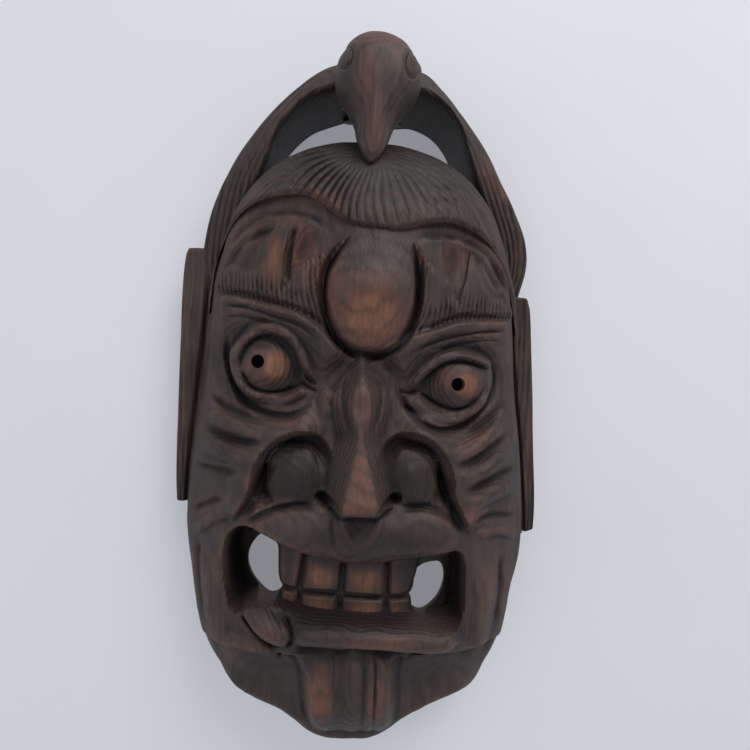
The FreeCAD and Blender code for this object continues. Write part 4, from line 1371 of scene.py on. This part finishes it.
class MASK_OT_face(bpy.types.Operator):
    """Carve the face out of its block, hollow it, and drill the eyes"""

    bl_idname = "mask.face"
    bl_label = "Carve Face"

    def execute(self, context):
        sizes = context.scene.mask_sizes
        face = relief_block("face_carving", (-131, 131), (-263, 126), sizes.face_grid, face_rise)
        combine(face, outline_prism("face_outline", FACE_OUTLINE, -5, 160), "INTERSECT")
        combine(face, outline_prism("hair_seat", HAIR_OUTLINE, -5, 160), "DIFFERENCE")
        combine(face, hollow_tool(), "DIFFERENCE")
        for name, outline in (("left_piercing", LEFT_PIERCING), ("right_piercing", RIGHT_PIERCING)):
            combine(face, outline_prism(name, outline, -5, 150), "DIFFERENCE")
        for name, (x, z) in (("left_pupil", LEFT_PUPIL), ("right_pupil", RIGHT_PUPIL)):
            tool = drill(name, x, z, sizes.pupil_radius, EYE_FRONT - sizes.pupil_depth, EYE_FRONT + 30)
            combine(face, tool, "DIFFERENCE")
        fit(mark_wood(face, FACE_RUBS_AND_SHADE), "face_shell", "stained_face")
        return {"FINISHED"}


class MASK_OT_brows(bpy.types.Operator):
    """Carve the flame-shaped brows and hatch them"""

    bl_idname = "mask.brows"
    bl_label = "Carve Brows"

    def execute(self, context):
        sizes = context.scene.mask_sizes
        brows = (("brow_left", LEFT_BROW, (-113, -9)), ("brow_right", RIGHT_BROW, (13, 116)))
        for name, outline, x_span in brows:

            def surface(x, z, outline=outline):
                return brow_rise(x, z, outline, sizes.brow_spacing, sizes.brow_depth)

            brow = relief_block(name, x_span, (8, 103), sizes.fine_grid, surface, thickness=9)
            combine(brow, outline_prism(name + "_outline", outline, 30, 160), "INTERSECT")
            fit(mark_wood(brow, FACE_RUBS_AND_SHADE, 20), "face_shell", "stained_face")
        return {"FINISHED"}


HAIR_RUBS = (
    (0, 146, 100, 30, 0, -0.6), (-30, 112, 16, 12, -30, 0.7), (20, 106, 30, 8, 0, 0.25),
    (-88, 118, 12, 22, -35, 0.35), (-100, 92, 8, 22, -15, 0.3), (96, 104, 10, 16, 20, 0.25),
)


class MASK_OT_hair(bpy.types.Operator):
    """Carve the hair, with its strands, and let the hanger into its back"""

    bl_idname = "mask.hair"
    bl_label = "Carve Hair"

    def execute(self, context):
        sizes = context.scene.mask_sizes

        def surface(x, z):
            return hair_rise(x, z, sizes.strand_depth)

        hair = relief_block("hair_carving", (-122, 122), (30, 173), sizes.hair_grid, surface)
        combine(hair, outline_prism("hair_outline", HAIR_OUTLINE, -5, 160), "INTERSECT")
        combine(hair, hollow_tool(), "DIFFERENCE")
        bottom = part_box("hanger_plate")[0].z / MM - EYE_LINE - 10
        combine(hair, box_tool("hanger_recess", (-14, 14), (bottom, 200), (-5, 6.5)), "DIFFERENCE")
        fit(mark_wood(hair, HAIR_RUBS, 24), "crown_block", "stained_hair")
        return {"FINISHED"}


WING_RUBS = (
    (96, 150, 12, 20, 30, 0.45), (-60, 190, 16, 8, 40, 0.2), (118, 90, 6, 26, 0, 0.25),
)


class MASK_OT_wings(bpy.types.Operator):
    """Carve the two wings that arch down beside the hair"""

    bl_idname = "mask.wings"
    bl_label = "Carve Wings"

    def execute(self, context):
        depth = context.scene.mask_sizes.feather_depth
        for side, outer, inner, seed in (
            ("left", LEFT_WING_OUTER, LEFT_WING_INNER, 61),
            ("right", RIGHT_WING_OUTER, RIGHT_WING_INNER, 64),
        ):
            wing = swept(side + "_wing_carved", wing_rings(outer, inner, depth, seed))
            # the wings take painted shade on the sides that turn away from the front
            fit(mark_wood(wing, WING_RUBS, 24, 0.9), side + "_wing", "stained_hair")
        return {"FINISHED"}


BIRD_RUBS = (
    (3, 224, 20, 10, 0, 0.5), (-4, 190, 10, 26, 0, 0.45), (1, 164, 7, 24, 0, 0.55),
    (16, 208, 8, 14, 0, 0.3),
)


class MASK_OT_bird(bpy.types.Operator):
    """Carve the bird's head, its beak and its neck"""

    bl_idname = "mask.bird"
    bl_label = "Carve Bird"

    def execute(self, context):
        bird = swept("bird_carved", bird_rings())
        fit(mark_wood(bird, BIRD_RUBS, 20), "bird_head", "stained_face")
        return {"FINISHED"}


EAR_RUBS = (
    (-136, 10, 3, 60, 0, 0.4), (-120, -60, 4, 40, 0, 0.3), (134, -60, 3, 50, 0, 0.3),
    (126, 20, 5, 30, 0, 0.2),
)


class MASK_OT_ears(bpy.types.Operator):
    """Cut the two ear boards"""

    bl_idname = "mask.ears"
    bl_label = "Cut Ears"

    def execute(self, context):
        left = ear_rings(
            [(94, -134), (80, -138), (50, -139.4), (-23, -139.4), (-80, -138.6), (-102, -137)],
            [(94, -108), (50, -108), (0, -110), (-60, -117), (-102, -121)],
            [(-142, 87), (-136, 91.5), (-128, 93), (-100, 93)],
            [(-142, -98), (-130, -100.5), (-100, -101)],
            71,
        )
        right = ear_rings(
            [(66, 130), (52, 133), (0, 136), (-60, 138.6), (-100, 139.6), (-121, 139)],
            [(66, 106), (25, 108), (-30, 113), (-80, 118), (-121, 122)],
            [(100, 66), (126, 65), (132, 60), (142, 50)],
            [(100, -120), (128, -120), (136, -118.5), (142, -114)],
            74,
        )
        for side, rings in (("left", left), ("right", right)):
            ear = swept(side + "_ear_board", rings)
            fit(mark_wood(ear, EAR_RUBS, 20), side + "_ear", "stained_face")
        return {"FINISHED"}


# Patches below 0 are painted shade: under the upper lip, on the outer teeth and below the lower row.
TEETH_RUBS_AND_SHADE = (
    (-46, -130, 9, 16, 0, 0.8), (-24, -136, 11, 9, 0, 1.25), (5, -138, 12, 9, 0, 1.1),
    (28, -140, 8, 7, 0, 0.6), (-26, -158, 13, 8, 0, 1.2), (4, -160, 13, 8, 0, 1.2),
    (28, -162, 8, 7, 0, 0.7), (-6, -118, 50, 9, 0, -0.7), (-46, -156, 6, 10, 0, 0.7),
    (-50, -128, 10, 22, 0, -0.9), (38, -135, 12, 20, 0, -0.9), (38, -160, 9, 14, 0, -0.7),
    (0, -180, 60, 10, 0, -0.9),
)


class MASK_OT_teeth(bpy.types.Operator):
    """Carve the two rows of block teeth"""

    bl_idname = "mask.teeth"
    bl_label = "Carve Teeth"

    def execute(self, context):
        rows = (
            ("upper_teeth", UPPER_OUTLINE, UPPER_GAPS, UPPER_FRONT, (-155, -100)),
            ("lower_teeth", LOWER_OUTLINE, LOWER_GAPS, LOWER_FRONT, (-187, -145)),
        )
        for node, outline, gaps, front, z_span in rows:

            def surface(x, z, outline=outline, gaps=gaps, front=front):
                return teeth_rise(x, z, outline, gaps, front)

            row = relief_block(node + "_carved", (-60, 50), z_span, 0.7, surface, back=35)
            combine(row, outline_prism(node + "_outline", outline, 20, 120), "INTERSECT")
            combine(row, hollow_tool(), "DIFFERENCE")
            fit(mark_wood(row, TEETH_RUBS_AND_SHADE, 20), node, "stained_teeth")
        return {"FINISHED"}


class MASK_OT_hanger(bpy.types.Operator):
    """Finish the wall hanger and the dowels"""

    bl_idname = "mask.hanger"
    bl_label = "Finish Hanger"

    def execute(self, context):
        for finish, nodes in (
            ("plated_steel", ("hanger_plate", "hanger_ring", "hanger_screws")),
            ("dowel_wood", ("crown_dowels", "wing_dowels", "ear_dowels")),
        ):
            for node in nodes:
                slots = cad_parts[node].data.materials
                slots.clear()
                slots.append(bpy.data.materials[finish])
        return {"FINISHED"}


class MASK_OT_stage(bpy.types.Operator):
    """Set up the backdrop, the lights and the camera"""

    bl_idname = "mask.stage"
    bl_label = "Set Stage"

    def execute(self, context):
        stage = context.scene.mask_stage
        self.backdrop(stage)
        self.lights(stage)
        self.camera(stage)
        return {"FINISHED"}

    def backdrop(self, stage):
        """A wall just behind the mask that curves into a floor well below it."""
        width, top, floor, bend, reach, gap = 3.0, 1.6, -0.85, 0.3, 2.4, 0.0015
        bm = bmesh.new()
        bmesh.ops.create_grid(bm, x_segments=2, y_segments=60, size=1)
        wall_length, curve_length = top - floor - bend, bend * math.pi / 2
        for vert in bm.verts:
            run = (vert.co.y + 1) / 2 * (wall_length + curve_length + reach)
            y, z = 0.0, top - run
            if run > wall_length:
                turn = min((run - wall_length) / bend, math.pi / 2)
                past = max(0.0, run - wall_length - curve_length)
                y = -bend * (1 - math.cos(turn)) - past
                z = floor + bend * (1 - math.sin(turn))
            vert.co = (vert.co.x * width, y + gap, z)
        wall = finish_mesh("backdrop", bm)
        if wall.data.polygons[0].normal.y > 0:
            wall.data.flip_normals()
        wall.data.materials.append(one_sided_material(stage.backdrop, stage.glow))

    def lights(self, stage):
        """A soft sky, a large lamp above on the right and a weak one on the left."""
        world = bpy.context.scene.world or bpy.data.worlds.new("sky")
        bpy.context.scene.world = world
        world.use_nodes = True
        background = world.node_tree.nodes["Background"]
        background.inputs[0].default_value = (*stage.sky, 1)
        background.inputs[1].default_value = stage.sky_strength
        for name, place, aim, size, power in (
            ("key", (0.45, -1.0, 1.05), (0.0, -0.05, -0.1), 0.9, stage.key_power),
            ("fill", (-1.0, -1.1, 0.1), (0.0, -0.05, -0.15), 1.2, stage.key_power * 0.16),
        ):
            lamp = bpy.data.lights.new(name, "AREA")
            lamp.size = size
            lamp.energy = power
            lamp.color = (1.0, 0.975, 0.95)
            piece = bpy.data.objects.new(name, lamp)
            piece.location = place
            piece.rotation_euler = (Vector(aim) - Vector(place)).to_track_quat("-Z", "Y").to_euler()
            piece.visible_camera = False
            bpy.context.scene.collection.objects.link(piece)

    def camera(self, stage):
        """A wide lens held close, a little left of the middle and tilted slightly."""
        lens = bpy.data.cameras.new("camera")
        lens.lens = stage.lens
        lens.sensor_width = 36
        piece = bpy.data.objects.new("camera", lens)
        bpy.context.scene.collection.objects.link(piece)
        forward, up = Vector((0.0576, 0.9983, 0.0)).normalized(), Vector((-0.0331, 0.0019, 0.9994))
        right = forward.cross(up).normalized()
        up = right.cross(forward)
        turned = Matrix((right, up, -forward)).transposed().to_4x4()
        piece.matrix_world = Matrix.Translation((-0.0146, -0.4701, -0.1375)) @ turned
        bpy.context.scene.camera = piece
        bpy.context.scene.view_settings.view_transform = "Standard"


STEPS = (
    MASK_OT_finishes,
    MASK_OT_stage,
    MASK_OT_face,
    MASK_OT_brows,
    MASK_OT_hair,
    MASK_OT_wings,
    MASK_OT_bird,
    MASK_OT_ears,
    MASK_OT_teeth,
    MASK_OT_hanger,
)


class MASK_PT_steps(bpy.types.Panel):
    """Lists the steps of making the mask"""

    bl_label = "Carved Wall Mask"
    bl_idname = "MASK_PT_steps"
    bl_space_type = "VIEW_3D"
    bl_region_type = "UI"
    bl_category = "Mask"

    def draw(self, context):
        for step in STEPS:
            self.layout.operator(step.bl_idname)
        for group in (context.scene.mask_finish, context.scene.mask_sizes, context.scene.mask_stage):
            box = self.layout.box()
            for name in group.bl_rna.properties.keys():
                if name not in ("rna_type", "name"):
                    box.prop(group, name)


GROUPS = (("mask_finish", WoodFinish), ("mask_sizes", CarvingSizes), ("mask_stage", StageSettings))
CLASSES = (WoodFinish, CarvingSizes, StageSettings, *STEPS, MASK_PT_steps)


def register():
    """Adds the classes and the settings they use."""
    for cls in CLASSES:
        bpy.utils.register_class(cls)
    for name, group in GROUPS:
        setattr(bpy.types.Scene, name, PointerProperty(type=group))


def unregister():
    """Takes them away again."""
    for name, _ in GROUPS:
        delattr(bpy.types.Scene, name)
    for cls in reversed(CLASSES):
        bpy.utils.unregister_class(cls)


def main():
    """Makes the whole mask, step by step."""
    register()
    for step in STEPS:
        getattr(bpy.ops.mask, step.bl_idname.split(".")[1])()


if __name__ == "__main__":
    main()
